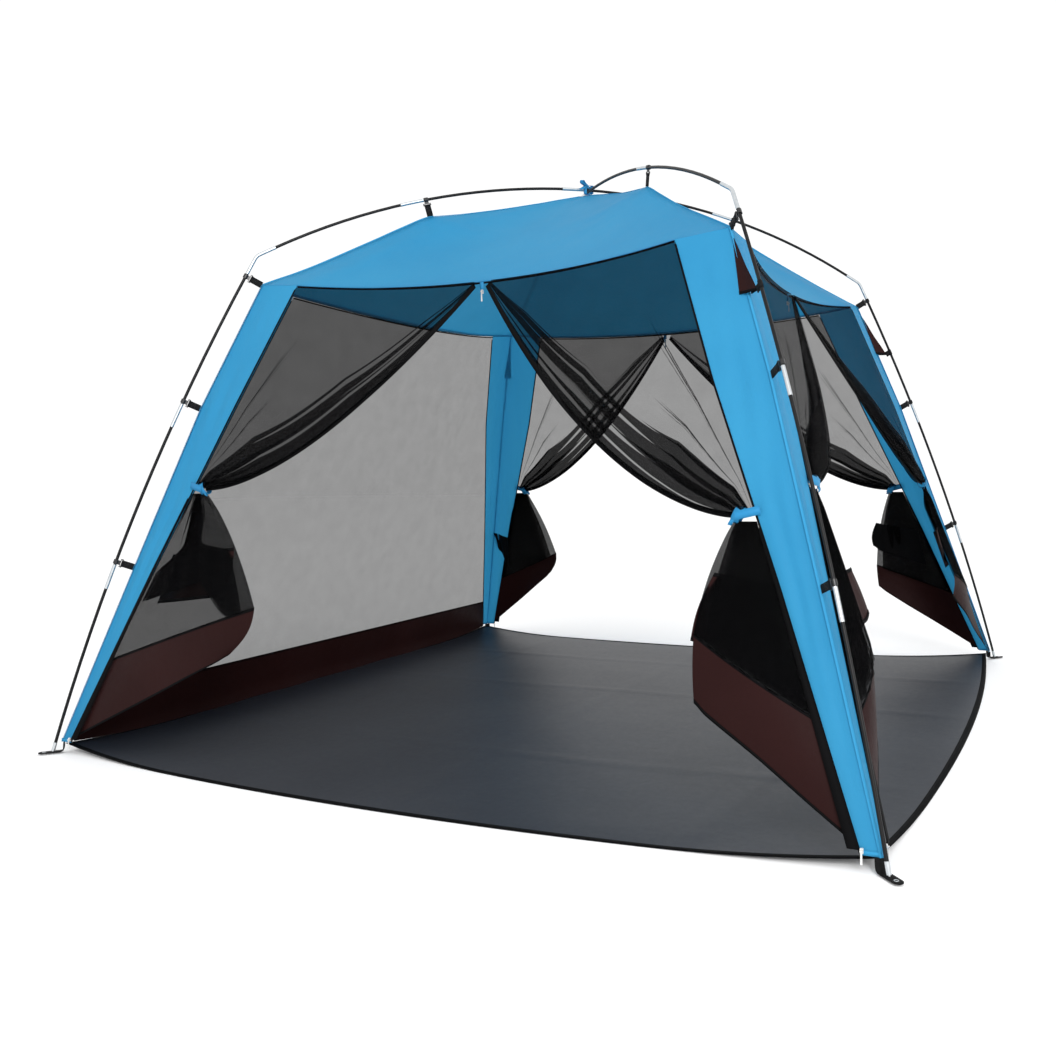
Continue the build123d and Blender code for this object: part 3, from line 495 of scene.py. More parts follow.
def stitches(name, runs, out, size=0.0007, pitch=0.0032):
    """Short raised stitches along straight runs."""
    points, faces = [], []
    out = Vector(out)
    for start, end in runs:
        start, run = Vector(start), Vector(end) - Vector(start)
        count = max(1, int(run.length / pitch))
        side = run.normalized().cross(out).normalized() * size / 2
        top = out * size * 0.7
        for k in range(count):
            a = start + run * ((k + 0.18) / count)
            b = start + run * ((k + 0.82) / count)
            first = len(points)
            points += [a - side, a + side, b + side, b - side]
            points += [a * 0.75 + b * 0.25 + top, a * 0.25 + b * 0.75 + top]
            for face in ((0, 1, 4), (1, 2, 5, 4), (2, 3, 5), (3, 0, 4, 5)):
                faces.append(tuple(first + i for i in face))
    piece = mesh_piece(name, points, faces, thread, smooth=False)
    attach(piece, "tent")


BAR_LOOP = 0.0025   # radius of the webbing round a clip's bar
STITCH_BOX = ((0.011, -0.009), (0.022, -0.009), (0.022, 0.009), (0.011, 0.009))
for joint in frame["record"]["behaviour"]["joints"]:
    if not joint["name"].startswith("clip_"):
        continue
    bar = np.array(joint["pos_m"])
    heading = np.array(joint["axis"])
    radial = bar * (1, 1, 0) / np.linalg.norm(bar[:2])
    inward = -heading[2] * radial + np.array((0, 0, heading @ radial))
    side = np.cross(heading, inward)
    wrap = [bar + BAR_LOOP * (math.cos(a) * inward + math.sin(a) * side)
            for a in np.linspace(0.9, 2 * math.pi - 0.9, 15)]
    near, far, lift = bar + inward * 0.0085, bar + inward * 0.0435, side * WEBBING_HALF
    path = [far + lift, near + lift] + wrap + [near - lift, far - lift]
    name = joint["name"].replace("clip_", "strap_").replace("_swing", "")
    strip_piece(name, path, heading, WEBBING_WIDTH, webbing, WEBBING_THICKNESS)
    for face, ending in ((1, "_box"), (-1, "_back")):
        box = [bar + inward * d + heading * h + side * face * 0.0016 for d, h in STITCH_BOX]
        runs = list(zip(box, box[1:] + box[:1])) + [(box[0], box[2])]
        stitches(name + ending, runs, side * face)
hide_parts("strap_webbing")

# ---------------- groundsheet
# Coated woven polyethylene, about 2.93 m between its sewn corners, with faint fold lines from its bag and a
# black hem. Front and sides are bowed out, the back is bowed in, and the corners rise to the covers' feet.
ground_cloth, tree, shader, _ = new_material("groundsheet")
weave = woven(tree, 150.0)
clouds = ranged(tree, mottle(tree, 1.1, 5.0), 0, 1, 0.3, 0.7)
coloured(tree, shader, clouds, (0.011, 0.014, 0.021), (0.022, 0.026, 0.034))
roughened(tree, shader, mottle(tree, 45.0, 6.0, 0.7), 0.42, 0.56)
layered_relief(tree, shader, mottle(tree, 3.5, 3.0), (0.3, 0.01), weave, (0.2, 0.0004))

GROUND_CORNER, GROUND_LEFT = 1.461, 1.477
BOW_RIGHT, BOW_LEFT, BOW_FRONT, BOW_BACK = 0.075, 0.029, 0.110, -0.120
CORNER_LIFT = 0.030
BAG_FOLDS = (((-0.62, 0.02, 0.66), 1), ((-0.55, 0.12, 0.60), 0))   # places, and 1 for those along X


def corner_lift(beyond):
    """How the sheet rises to a cover's foot; beyond is |s| + |t| of its square."""
    return CORNER_LIFT * np.maximum(0, (beyond - 1.6) / 0.4) ** 2


s, t = np.meshgrid(np.linspace(-1, 1, 97), np.linspace(-1, 1, 97))
x = s * (np.where(s > 0, GROUND_CORNER, GROUND_LEFT) + np.where(s > 0, BOW_RIGHT, BOW_LEFT) * (1 - t**2))
y = t * (GROUND_CORNER + np.where(t > 0, BOW_BACK, BOW_FRONT) * (1 - s**2))
rows = np.stack((x, y, corner_lift(np.abs(s) + np.abs(t)) + 0.0015), -1)
folds = np.zeros_like(s)
for places, along_x in BAG_FOLDS:
    for line in places:
        folds += 0.0022 * bulge(s if along_x else t, line + 0.012 * np.sin(3 * (s + t)), 0.012)
rumple = 0.0022 * (1 + ripple(rows, 1.0, 2.4, 31))
rows[:, :, 2] += (folds + rumple) * np.clip((1 - np.maximum(np.abs(s), np.abs(t))) * 12, 0, 1)
ground = sheet_piece("groundsheet_cloth", rows, ground_cloth)
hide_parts("groundsheet")
rim = np.concatenate((rows[0], rows[1:, -1], rows[-1, -2::-1], rows[-2::-1, 0]))
inward = -rim * (1, 1, 0)
line = rim + inward / np.linalg.norm(inward, axis=1)[:, None] * 0.012 + (0, 0, 0.0006)
hem = strip_piece("groundsheet_hem", line, inward, 0.024, black_binding, 0.0012)

# ---------------- mesh and brown cloth
# Fine black insect mesh, which lets about a third of the light through each layer, and the dark brown
# cloth of the skirts, flaps and hoods.
values = {"Roughness": 0.8, "Specular IOR Level": 0.03}
insect_mesh, tree, shader, _ = new_material("insect_mesh", values)
weave = woven(tree, 210.0)
clouds = ranged(tree, mottle(tree, 14.0, 3.0), -0.03, 0.03)
cover = add(tree, "Math", {0: ranged(tree, weave, 0.60, 0.76), 1: clouds}, operation="ADD")
tree.links.new(cover.outputs[0], shader.inputs["Alpha"])
coloured(tree, shader, weave, (0.0006, 0.0006, 0.0008), (0.0022, 0.0022, 0.0025))
bumped(tree, shader, weave, 0.3, 0.0006)

brown_cloth = cloth_material("brown_polyester", (0.013, 0.0036, 0.0033), (0.022, 0.0068, 0.0066), 420.0, 0.5,
                             gloss=0.06)


def top_edge(x):
    """Where the mesh is sewn under the eave."""
    y, z = eave(x)
    return np.stack((x, y, z - SEWN_DROP), -1)


# ---------------- closed wall on the left
# Single mesh, sewn along the eave and down both covers, over a solid skirt that stands on the groundsheet.
SKIRT_TOP = 0.190
across = np.linspace(-1, 1, 49)
wall_rows = []
for z in np.linspace(SKIRT_TOP, 1.60, 40):
    x = across * float(edge_at(z))
    wall_rows.append(np.stack((x, side_depth(x, z), np.full_like(x, z)), -1))
wall_rows.append(top_edge(across * EAVE_INNER))
rows = np.array(wall_rows)
share = np.linspace(0, 1, len(rows))[:, None]
rows[:, :, 1] += ripple(rows, 0.006, 2.0, 41) * np.sin(np.pi * share) * (1 - across**2)
wall = sheet_piece("wall_mesh", placed(rows, SIDES["left"]), insect_mesh)
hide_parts("mesh_wall_left")

skirt_rows = []
for z in np.linspace(0.0, SKIRT_TOP, 9):
    x = across * float(edge_at(max(z, COVER_FOOT)))
    low = corner_lift(1 + np.abs(across)) + 0.0012
    height = low + (SKIRT_TOP - low) * z / SKIRT_TOP
    y = side_depth(x, height) - 0.006 * np.sin(14 * x + 1.0) * (1 - z / SKIRT_TOP) * (1 - across**2)
    skirt_rows.append(np.stack((x, y, height), -1))
rows = np.array(skirt_rows)
skirt = sheet_piece("wall_skirt", placed(rows, SIDES["left"]), brown_cloth)
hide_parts("wall_skirt_left")
line = placed(rows[-1] - (0, 0.0012, 0), SIDES["left"])
trim = strip_piece("wall_skirt_seam", line, (0, 0, 1.0), 0.010, black_binding)

# ---------------- doors
# Each doorway closes with two mesh halves that meet on a zip. Tied back, each half fans from the eave into a
# bundle at the leg and spreads again below its tie. Its hem carries a brown flap, and the inner folds' flap
# pokes out past the free edge.
TIE_FROM_EDGE, TIE_SPREAD = 0.044, 0.019
HEM_AT_LEG, FLAP_AT_LEG = 0.339, 0.064   # heights
Half = namedtuple("Half", "side sign tie_z hang start hem flap drawn fold_top fold_low share")
# hang and start shape the zip's edge, hem is its free end, flap is the brown flap's width and drawn how far
# its low corner is set back. fold_top and fold_low end the inner fold; share is how far down folds reach.
HALVES = {
    "front_right": Half("front", 1, 0.866, 1.65, 0.040, (0.950, 0.545), 0.178, 0.0,
                        (0.990, 0.705), (0.940, 0.520), 1.00),
    "front_left": Half("front", -1, 0.958, 1.85, 0.013, (0.640, 0.550), 0.160, 0.095,
                       (0.790, 0.745), (0.800, 0.588), 0.66),
    "right_back": Half("right", 1, 0.900, 1.80, 0.015, (0.935, 0.485), 0.100, 0.0,
                       (0.945, 0.690), (0.925, 0.590), 1.00),
    "right_front": Half("right", -1, 0.948, 1.85, 0.010, (1.040, 0.505), 0.130, 0.0,
                        (0.900, 0.690), (0.850, 0.545), 1.00),
    "back_left": Half("back", 1, 0.881, 1.50, 0.015, (0.915, 0.500), 0.105, 0.03,
                      (1.320, 0.625), (1.300, 0.555), 1.00),
    "back_right": Half("back", -1, 0.870, 1.75, 0.015, (0.940, 0.470), 0.100, 0.0,
                       (0.950, 0.690), (0.930, 0.570), 1.00),
}
LEG_OF = {"right_back": "back_right", "right_front": "front_right"}   # the others are named like their leg


def smooth(value, low, high):
    u = np.clip((value - low) / (high - low), 0, 1)
    return u * u * (3 - 2 * u)


def blend(start, end, share):
    return start + (end - start) * share


def tie_at(z):
    """Middle of the bundle where it is tied."""
    return float(edge_at(z)) - TIE_FROM_EDGE


def door_fan(half, seed):
    """Rows from the doorway's top to the tie. Each runs from the sewn edge, taut but for two creases, to a
    band of long pleats along the zip's edge."""
    t = np.linspace(0, 1, 96)[:, None]
    corner, corner_z = 0.46, 1.700
    on_eave = np.clip(t / corner, 0, 1)
    leg_z = blend(corner_z, half.tie_z + 0.020, np.clip((t - corner) / (1 - corner), 0, 1))
    top = top_edge(blend(half.start + 0.010, EAVE_INNER, on_eave))
    sewn_x = np.where(t <= corner, top[..., 0], edge_at(leg_z))
    sewn_z = np.where(t <= corner, top[..., 2], leg_z)
    zip_x = blend(half.start, tie_at(half.tie_z) - TIE_SPREAD, t)
    zip_top = float(eave(half.start)[1]) - 0.020
    zip_z = half.tie_z + (zip_top - half.tie_z) * (1 - t) ** half.hang
    reach = np.hypot(sewn_x - zip_x, sewn_z - zip_z)
    wide = np.interp(t, (0, 0.15, 0.40, 0.75, 1), (0.014, 0.075, 0.140, 0.140, 0.060))
    wide = np.minimum(wide, 0.62 * reach)

    s = np.linspace(0, 1, 170)[None, :]
    for middle, begin in ((0.40 + 0.05 * math.sin(seed), 0.34), (0.74 + 0.04 * math.cos(seed), 0.46)):
        for step, size in ((-0.030, 0.011), (-0.004, 0.018), (0.026, 0.013)):
            gap = (s - middle - step * (1.6 - t) - 0.05 * np.sin(4 * t + seed)) / size
            s = s - 2.1 * smooth(t, begin + 2 * abs(step), begin + 0.3) * size * gap * np.exp(-gap**2)

    b = np.linspace(0, 1, 261)[None, 1:]
    pleats = 6
    turn = 2 * math.pi * (pleats * b + 0.30 * np.sin(4.1 * b + seed)) + 1.1 * np.sin(3.2 * t + 1.7 * seed)
    window = smooth(b, 0, 0.08) * smooth(1 - b, 0, 0.05)
    first, last = 0.24 + 0.05 * math.sin(3 * seed), 0.90
    fold = 1.3 + 5.0 * bulge(b, first, 0.13) + 4.5 * bulge(b, last, 0.16)
    fold = fold + 0.9 * np.sin(7 * t + 4 * b + seed) + 3.5 * smooth(t, 0.55, 0.95)
    fold = fold * window / (2 * math.pi * pleats)
    p = np.clip(b + fold * np.sin(turn) + 0.30 * fold * np.sin(2.3 * turn + seed), -0.06, 1.0)

    band_x, band_z = blend(zip_x, sewn_x, wide / reach), blend(zip_z, sewn_z, wide / reach)
    x = np.concatenate((blend(sewn_x, band_x, s), blend(band_x, zip_x, p)), axis=1)
    z = np.concatenate((blend(sewn_z, band_z, s), blend(band_z, zip_z, p)), axis=1)
    taut = 0.004 * np.sin(math.pi * np.clip(s, 0, 1)) * smooth(t, 0, 0.3)
    pleated = (0.004 + 0.015 * smooth(t, 0.05, 0.9)) * window * np.cos(turn)
    y = side_depth(x, z) - np.concatenate((taut, pleated), axis=1)
    along_eave = (t <= corner) & (np.arange(x.shape[1])[None, :] == 0)
    return np.stack((x, np.where(along_eave, top[..., 1], y), z), -1)


def door_fall(half, seed):
    """Rows from the tie down to the hem, in five passes between the leg and the free fold. Where share is
    under 1, the inner four narrow to a neck and end above the hem, except along the free edge."""
    stops = np.array((0.0, 1.0, 0.02, 0.91, 0.03, 0.84))
    a = np.linspace(0, 5, 401)[None, :]
    path = np.interp(a, np.arange(6), stops)
    w = np.linspace(0, 1, 44)[:, None]
    start_z, start_x = half.tie_z - 0.018, tie_at(half.tie_z) - TIE_SPREAD
    outer = np.maximum(np.clip((1.08 - a) / 0.08, 0, 1), smooth(path, 0.62, 0.86))
    u = w * blend(half.share, 1, outer)
    if half.share < 1:
        spread = np.where(a > 1.0, smooth(u, 0.34, 0.50) + smooth(1.10 - a, 0.0, 0.10), 1.0)
        spread = np.clip(spread, 0, 1)
        path = path * spread + (0.34 + 0.22 * path) * (1 - spread)
    leg_z = blend(start_z, HEM_AT_LEG + 0.002, u)
    leg_x = edge_at(leg_z) - 0.001 - 0.004 * (1 - u) ** 3
    free_x = blend(start_x, half.hem[0], u**0.85) - 0.012 * np.sin(np.pi * u)
    free_z = blend(start_z, half.hem[1], u)
    x, z = blend(leg_x, free_x, path), blend(leg_z, free_z, path)
    billow = 0.042 * u * np.sin(math.pi * 0.75 * path)
    back = 0.0065 * np.clip(a - 0.9, 0, 5) * smooth(u, 0.0, 0.25)
    turn = 2 * math.pi * 5.0 * a + seed
    pleat = 0.010 * smooth(u, 0, 0.15) * (1 - 0.55 * u) * np.cos(turn + 1.2 * u)
    narrow = 0.0055 * np.cos(2 * turn) * (1 - u) ** 2
    inside = np.sin(np.pi * np.clip(path, 0, 1))
    y = side_depth(x, z) - billow + back - pleat * (0.25 + 0.75 * np.clip(inside, 0.15, 1)) - narrow
    x = x + 0.008 * np.sin(turn) * smooth(u, 0.1, 0.5) * (1 - 0.4 * u) * inside
    return np.stack((x, y, z), -1)


def door_flap(half, seed):
    """The brown flap along the hem, from the leg's foot to the free fold."""
    a = np.linspace(0, 1, 60)[None, :]
    w = np.linspace(0, 1, 16)[:, None]
    hem_x, hem_z = half.hem
    rounding = 0.008 * smooth(a, 0.90, 1.0) * w**2
    rounding = rounding - 0.30 * half.drawn * np.sin(np.pi * w) * smooth(a, 0.7, 1.0)
    top_x, top_z = blend(edge_at(HEM_AT_LEG) - 0.004, hem_x, a), blend(HEM_AT_LEG, hem_z, a)
    low_x = blend(edge_at(FLAP_AT_LEG) - 0.004, hem_x + half.drawn, a)
    low_z = blend(FLAP_AT_LEG, hem_z - half.flap, a)
    x, z = blend(top_x, low_x, w) + rounding, blend(top_z, low_z, w)
    billow = 0.042 * np.sin(math.pi * 0.75 * a) * (1 - w) + 0.005 * np.sin(np.pi * w) * a
    wave = 0.007 * np.sin(9.0 * a + seed) * a * w
    y = side_depth(x, np.maximum(z, 0.05)) - billow - wave + 0.002
    return np.stack((x, y, z), -1)


def door_lobe(half, seed):
    """The inner folds' flap: it runs across behind the front fold and pokes out past the free edge."""
    a = np.linspace(0, 1, 46)[None, :]
    w = np.linspace(0, 1, 14)[:, None]
    start_z = half.fold_top[1] - 0.035
    start_x = float(edge_at(start_z)) - 0.020
    top_x, top_z = blend(start_x, half.fold_top[0], a), blend(start_z, half.fold_top[1], a)
    low_x, low_z = blend(start_x + 0.030, half.fold_low[0], a), blend(start_z - 0.165, half.fold_low[1], a)
    x = blend(top_x, low_x, w) - 0.012 * np.sin(np.pi * w) * smooth(a, 0.7, 1.0)
    z = blend(top_z, low_z, w) + 0.012 * smooth(a, 0.85, 1.0) * w**3
    depth = 0.036 + 0.006 * np.sin(11 * a + seed) - 0.028 * smooth(a, 0.75, 1.0)
    y = side_depth(x, z) + depth - 0.030 * np.sin(math.pi * 0.75 * a)
    return np.stack((x, y, z), -1)


def bound(kind, name, rows, front):
    """Black binding along a flap's free edge, and a seam where it is sewn on."""
    edges = {"binding": (rows[-1], rows[-2] - rows[-1]), "seam": (rows[0], rows[1] - rows[0])}
    return [strip_piece(f"{kind}_{edge}_{name}", line + front * 0.001, across, 0.012, black_binding)
            for edge, (line, across) in edges.items()]


DARK_FOLDS = ("back_right", "back_left")   # where it is the mesh, folded many times, that pokes out
for seed, (name, half) in enumerate(HALVES.items()):
    degrees, sign = SIDES[half.side], half.sign
    fan = door_fan(half, seed * 1.7 + 0.4)
    door = sheet_piece(f"door_fan_{name}", placed(fan, degrees, sign), insect_mesh)
    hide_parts(f"door_mesh_{name}")
    below = sheet_piece(f"door_fall_{name}", placed(door_fall(half, seed * 2.3), degrees, sign), insect_mesh)

    tape = fan[:, -1]
    across = np.stack((np.gradient(tape[:, 2]), 0 * tape[:, 0], -np.gradient(tape[:, 0])), 1)
    line, across = placed(tape - (0, 0.004, 0), degrees, sign), placed(across, degrees, sign)
    zip_tape = strip_piece(f"door_zip_{name}", line, across, 0.017, black_binding)
    z = np.linspace(0.055, half.tie_z - 0.035, 40)
    x = edge_at(z) - np.linspace(0.015, 0.004, 40)
    line = placed(np.stack((x, side_depth(x, z) - 0.009, z), 1), degrees, sign)
    taper = np.linspace(0.030, 0.006, 40)[:, None]
    leg_tape = strip_piece(f"leg_zip_{name}", line, placed((1.0, 0, 0), degrees, sign), taper, black_binding)

    front = placed((0, -1.0, 0), degrees)
    flap_rows, lobe_rows = (placed(shape(half, seed), degrees, sign) for shape in (door_flap, door_lobe))
    brown = sheet_piece(f"door_flap_{name}", flap_rows, brown_cloth)
    lobe = sheet_piece(f"door_lobe_{name}", lobe_rows, black_binding if name in DARK_FOLDS else brown_cloth)
    binding = bound("flap", name, flap_rows, front)
    edging = bound("lobe", name, lobe_rows, front)

    cover = "cover_" + LEG_OF.get(name, name)
    if seed % 2 == 0:
        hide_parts("mud_flaps_" + half.side)

# ---------------- door ties and top tabs
# Blue ribbon wound round each bundle and led to the cover's edge, with one short end left hanging, and a
# short doubled blue tab over the top of each zip.
ribbon_cloth = cloth_material("blue_ribbon", (0.017, 0.18, 0.39), (0.030, 0.25, 0.49), 330.0, 0.45,
                              crinkle=0.15)
RIBBON_WIDTH, RIBBON_THICKNESS = 0.025, 0.0012
RING_DEEP, RING_TALL, RING_LEAN = 0.0185, 0.0225, 0.30
for name, half in HALVES.items():
    degrees, sign = SIDES[half.side], half.sign
    x, edge = tie_at(half.tie_z), float(edge_at(half.tie_z))
    y, z = float(side_depth(x, half.tie_z)), half.tie_z
    turn = np.linspace(0, 2 * math.pi, 41)
    u = np.linspace(0, 1, 12)
    rise = RING_TALL * np.sin(turn)
    ring_x = x - 0.010 + 0.004 * np.sin(turn) + RING_LEAN * rise
    ring = np.stack((ring_x, y - RING_DEEP * np.cos(turn), z + rise), -1)
    held_x = x - 0.014 + (edge - x + 0.024) * u
    held = np.stack((held_x, y - 0.020 + 0.015 * u**2, z - 0.002 + 0.016 * u), -1)
    tail_y = y - 0.012 - 0.004 * np.sin(math.pi * u)
    tail = np.stack((x - 0.020 - 0.012 * u, tail_y, z - 0.010 - 0.018 * u), -1)
    for kind, line, across, width, thickness in (
            ("ring", ring, (1.0, 0, -RING_LEAN), RIBBON_WIDTH, RIBBON_THICKNESS),
            ("strap", held, (-0.2, 0, 1.0), RIBBON_WIDTH, RIBBON_THICKNESS),
            ("tail", tail, (1.0, 0.3, -0.3), 0.012, 0.001)):
        line, across = placed(line, degrees, sign), placed(across, degrees, sign)
        piece = strip_piece(f"tie_{kind}_{name}", line, across, width, ribbon_cloth, thickness)
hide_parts("door_ties")

for side in ("front", "right", "back"):
    y, z = eave(0.0)
    drop = np.linspace(0, 1, 10)
    for k, lift in enumerate((-0.0022, 0.0004)):
        line = np.stack((0 * drop, y + lift - 0.0008 * np.sin(3 * drop), z - 0.003 - 0.024 * drop), -1)
        line, across = placed(line, SIDES[side]), placed((1.0, 0, 0), SIDES[side])
        strip_piece(f"top_tab_{side}_{k}", line, across, 0.015, ribbon_cloth, 0.001)
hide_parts("zip_tabs")

# ---------------- piping
# Black bias binding where the mesh meets the eaves and the edges of the covers.
for side, angle in SIDES.items():
    x = np.linspace(-EAVE_INNER + 0.002, EAVE_INNER - 0.002, 60)
    y, z = eave(x)
    line, across = placed(np.stack((x, y, z - 0.0055), -1), angle), placed((0, 0.12, 1.0), angle)
    strip_piece(f"eave_binding_{side}", line, across, 0.0060, black_binding, 0.003)
    for sign, end in ((-1, "left"), (1, "right")):
        z = np.linspace(0.045, COVER_TOP, 60)
        x = sign * (edge_at(z) - 0.002)
        line = placed(np.stack((x, side_depth(x, z) - 0.0016, z), -1), angle)
        across = placed((1.0, 0, 0), angle)
        strip_piece(f"leg_binding_{side}_{end}", line, across, 0.0065, black_binding, 0.0014)
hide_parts("eave_piping")

# ---------------- zip sliders and pulls
# Die-cast and silver painted, with rubbed edges and a slightly pitted skin.
zip_metal, tree, shader, _ = new_material("zip_metal", {"Metallic": 0.55})
rub = mottle(tree, 120.0, 4.0)
coloured(tree, shader, rub, (0.66, 0.66, 0.65), (0.90, 0.90, 0.88))
roughened(tree, shader, rub, 0.25, 0.45)
bumped(tree, shader, mottle(tree, 700.0, 3.0), 0.15, 0.0002)
dress(zip_metal, "zip_pull", "zip_sliders")

# ---------------- vent hoods
# Brown hoods, bound in black, folded over three of the leg ridges and held out by a loop round the pole.
# A hood's tip and its loop's place on the pole: reach, 0 and height.
HOOD_TIP = {"over": (1.4799, 0, 1.5081), "under": (1.4842, 0, 1.5101)}
HOOD_POLE = {"over": (1.5013, 0, 1.5190), "under": (1.5055, 0, 1.5213)}
HOOD_START, HOOD_END = 0.042, 0.237   # along the ridge from the shoulder
HOOD_PROUD = 0.0034   # off the ridge
POLE_LEAN = np.array((-0.4600, 0, 0.8879))   # the pole's direction at the loop
POLE_WRAP = 0.0068   # radius of the loop round it
hood_pieces, loop_pieces = [], []
for corner in ("front_right", "back_right", "back_left"):
    axes = np.array((*corner_axes(corner), (0, 0, 1.0)))
    shoulder = np.array((SHOULDER_REACH, 0, SHOULDER_HEIGHT))
    down = np.array((RIDGE[2][0], 0, RIDGE[2][1])) - shoulder
    down /= np.linalg.norm(down)
    apex, base = (shoulder + down * d + (HOOD_PROUD, 0, 0) for d in (HOOD_START, HOOD_END))
    tip = np.array(HOOD_TIP[POLE_OF[corner]])
    hood_rows = []
    for share in np.linspace(0, 1, 24):
        middle = blend(apex, tip, share)
        reach = 0.024 / ROOT2 * share + 0.003
        foot = blend(apex, base, share) - (reach, 0, 0)
        row = []
        for u in np.linspace(-1, 1, 21):
            point = middle + (foot + (0, reach * np.sign(u), 0) - middle) * abs(u)
            sag = 0.006 * math.sin(math.pi * abs(u)) * share
            row.append(point + (-sag * 0.7, np.sign(u) * -sag * 0.7, 0.002 * math.sin(9 * share + 4 * u)))
        hood_rows.append(row)
    rows = np.array(hood_rows) @ axes
    hood = sheet_piece(f"hood_{corner}", rows, brown_cloth)
    hem = strip_piece(f"hood_hem_{corner}", rows[-1], rows[-2] - rows[-1], 0.010, black_binding, 0.0012)
    hood_pieces.append(hood)

    pole = np.array(HOOD_POLE[POLE_OF[corner]])
    inward = np.array((-POLE_LEAN[2], 0, POLE_LEAN[0]))
    side = np.array((0, -1.0, 0))
    lift, neck = side * WEBBING_HALF, pole + inward * 0.012
    wrap = [pole + POLE_WRAP * (math.cos(a) * inward + math.sin(a) * side)
            for a in np.linspace(0.35, 2 * math.pi - 0.35, 27)]
    path = np.array([tip + lift, neck + lift] + wrap + [neck - lift, tip - lift]) @ axes
    name, across = f"hood_loop_{corner}", POLE_LEAN @ axes
    loop_pieces.append(strip_piece(name, path, across, WEBBING_WIDTH, webbing, WEBBING_THICKNESS))
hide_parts("vent_hoods")
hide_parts("hood_loops")

# ---------------- foot webbing
# Black 30 mm webbing down from each cover, over the pin at the pole's foot and out to a rounded tongue
# with a peg eyelet of plated steel.
FOOT, PIN = 1.5 * ROOT2, 2.1193
STRAP_START = FOOT - 0.034 - 0.0075
PEG_HOLE, TONGUE_END, TONGUE_HALF = PIN + 0.028, FOOT + 0.046, 0.0145
HOLE_RADIUS, TONGUE_LOW, TONGUE_HIGH = 0.0041, 0.0052, 0.0080
# The strap's way down, as how far out from its start and how high.
FOOT_DROP = ((0, 0.0412), (0.001, 0.030), (0.0022, 0.018), (0.0045, 0.0105), (0.011, 0.0072),
             (0.020, 0.0066))


def tongue_reach(dx, dy):
    """From the peg hole to the tongue's outline: straight sides, a straight back and a half round end."""
    reach = TONGUE_HALF / max(abs(dy), 1e-6)
    if dx < -1e-6:
        reach = min(reach, (PEG_HOLE - STRAP_START - 0.020) / -dx)
    cap = TONGUE_END - TONGUE_HALF - PEG_HOLE
    if reach * dx > cap:
        reach = min(reach, dx * cap + math.sqrt(max(0.0, (dx * cap) ** 2 - cap * cap + TONGUE_HALF**2)))
    return reach


for corner in CORNERS:
    radial, tangent = corner_axes(corner)
    upward = np.array((0, 0, 1.0))
    path = np.array([(STRAP_START + out) * radial + height * upward for out, height in FOOT_DROP])
    strip_piece(f"foot_strap_{corner}", path, tangent, 0.029, webbing, 0.0028)
    hole = [(HOLE_RADIUS * math.cos(a), HOLE_RADIUS * math.sin(a)) for a in 2 * math.pi * np.arange(64) / 64]
    outline = []
    for a in 2 * math.pi * np.arange(64) / 64:
        reach = tongue_reach(math.cos(a), math.sin(a))
        outline.append((reach * math.cos(a), reach * math.sin(a)))
    heights = (TONGUE_LOW, TONGUE_LOW, TONGUE_HIGH, TONGUE_HIGH, TONGUE_LOW)
    ring_rows = []
    for ring, height in zip((hole, outline, outline, hole, hole), heights):
        ring_rows.append([(PEG_HOLE + dx) * radial + dy * tangent + height * upward for dx, dy in ring])
    sheet_piece(f"foot_tongue_{corner}", ring_rows, webbing, closed=True)
    eye_rows = []
    for p in np.linspace(0, 2 * math.pi, 13):
        r, height = 0.0052 + 0.0013 * math.cos(p), 0.0082 + 0.0008 * math.sin(p)
        eye_rows.append([(PEG_HOLE + r * math.cos(a)) * radial + r * math.sin(a) * tangent + height * upward
                         for a in np.linspace(0, 2 * math.pi, 33)[:-1]])
    sheet_piece(f"peg_eyelet_{corner}", eye_rows, zinc, closed=True)
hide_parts("foot_webbing")

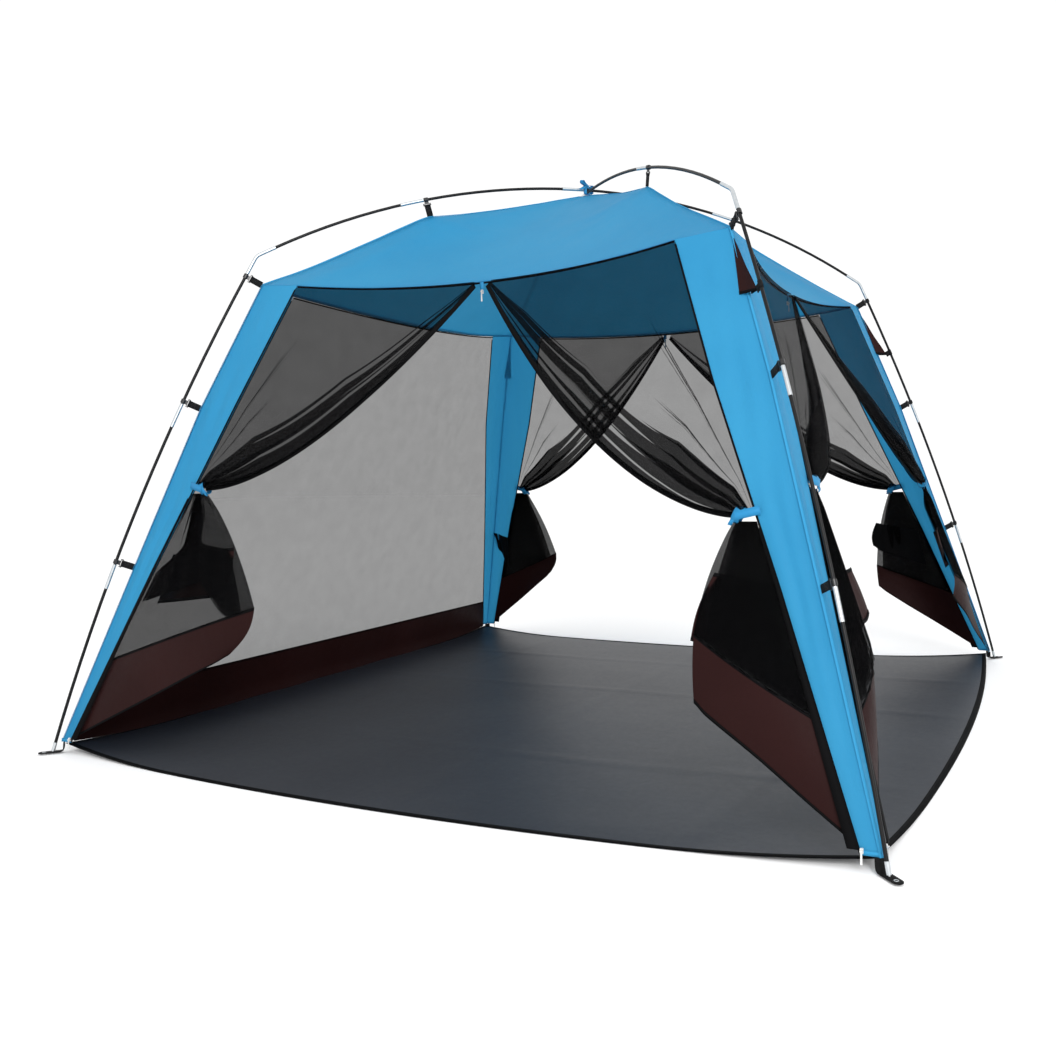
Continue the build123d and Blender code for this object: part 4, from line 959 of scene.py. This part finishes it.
# ---------------- ribbon at the crossing
# A blue ribbon wound round both poles where they cross and tied in a bow on top, its tails falling free.
LOW_Z, HIGH_Z, BAND_HALF, BAND_ROUND = 2.1505, 2.1762, 0.0168, 0.005
band = []
for first, (x, z) in enumerate(((1, HIGH_Z - BAND_ROUND), (-1, HIGH_Z - BAND_ROUND),
                                (-1, LOW_Z + BAND_ROUND), (1, LOW_Z + BAND_ROUND))):
    for k in range(7):
        a = math.pi / 2 * (first + k / 6)
        y = x * (BAND_HALF - BAND_ROUND) + BAND_ROUND * math.cos(a)
        band.append((0.0, y, z + BAND_ROUND * math.sin(a)))
wound = strip_piece("crown_band", band + band[:1], (1.0, 0, 0), 0.0145, ribbon_cloth, RIBBON_THICKNESS)
centre = np.array((0, 0, HIGH_Z + 0.0050))
bows = (("bow_front", 0.30, 0.052, 0.0085, -1), ("bow_back", 0.24, 0.050, 0.0080, 1))
for name, lean, length, tall, sign in bows:
    a = np.linspace(0, 2 * math.pi, 37)
    run = length / 2 * (1 - np.cos(a))
    rise = tall * np.sin(a) * (0.35 + 0.65 * np.sin(a / 2) ** 2)
    y = sign * (run * math.cos(lean) - rise * math.sin(lean))
    loop = np.stack((0.002 * np.sin(3 * a), y, run * math.sin(lean) + rise * math.cos(lean)), 1) + centre
    across = np.stack((np.ones(37), 0.25 * np.sin(a), 0.15 * np.sin(2 * a)), 1)
    strip_piece("crown_" + name, loop, across, 0.0150, ribbon_cloth, 0.0011)
for name, sign, length, fall in (("tail_front", -1, 0.046, 0.016), ("tail_back", 1, 0.044, 0.018)):
    u = np.linspace(0, 1, 16)
    x = 0.004 * np.sin(4 * u) + 0.006 * sign * u
    y, z = sign * (0.003 + (length - 0.003) * u), 0.003 * np.sin(6 * u) - fall * u**2
    across = np.stack((np.ones(16), 0.3 * u, 0.5 * u * sign), 1)
    strip_piece("crown_" + name, np.stack((x, y, z), 1) + centre, across, 0.0140, ribbon_cloth, 0.0011)
knot_rows = []
for theta in np.linspace(0, math.pi, 9):
    deep, tall = 0.0072 * math.sin(theta), 0.0062 * math.sin(theta)
    knot_rows.append([(0.0078 * math.cos(theta) + 0.0004 * math.sin(5 * p), deep * math.cos(p),
                       centre[2] + tall * math.sin(p)) for p in np.linspace(0, 2 * math.pi, 19)[:-1]])
sheet_piece("crown_knot", knot_rows, ribbon_cloth, closed=True)
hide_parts("crown_ribbon")
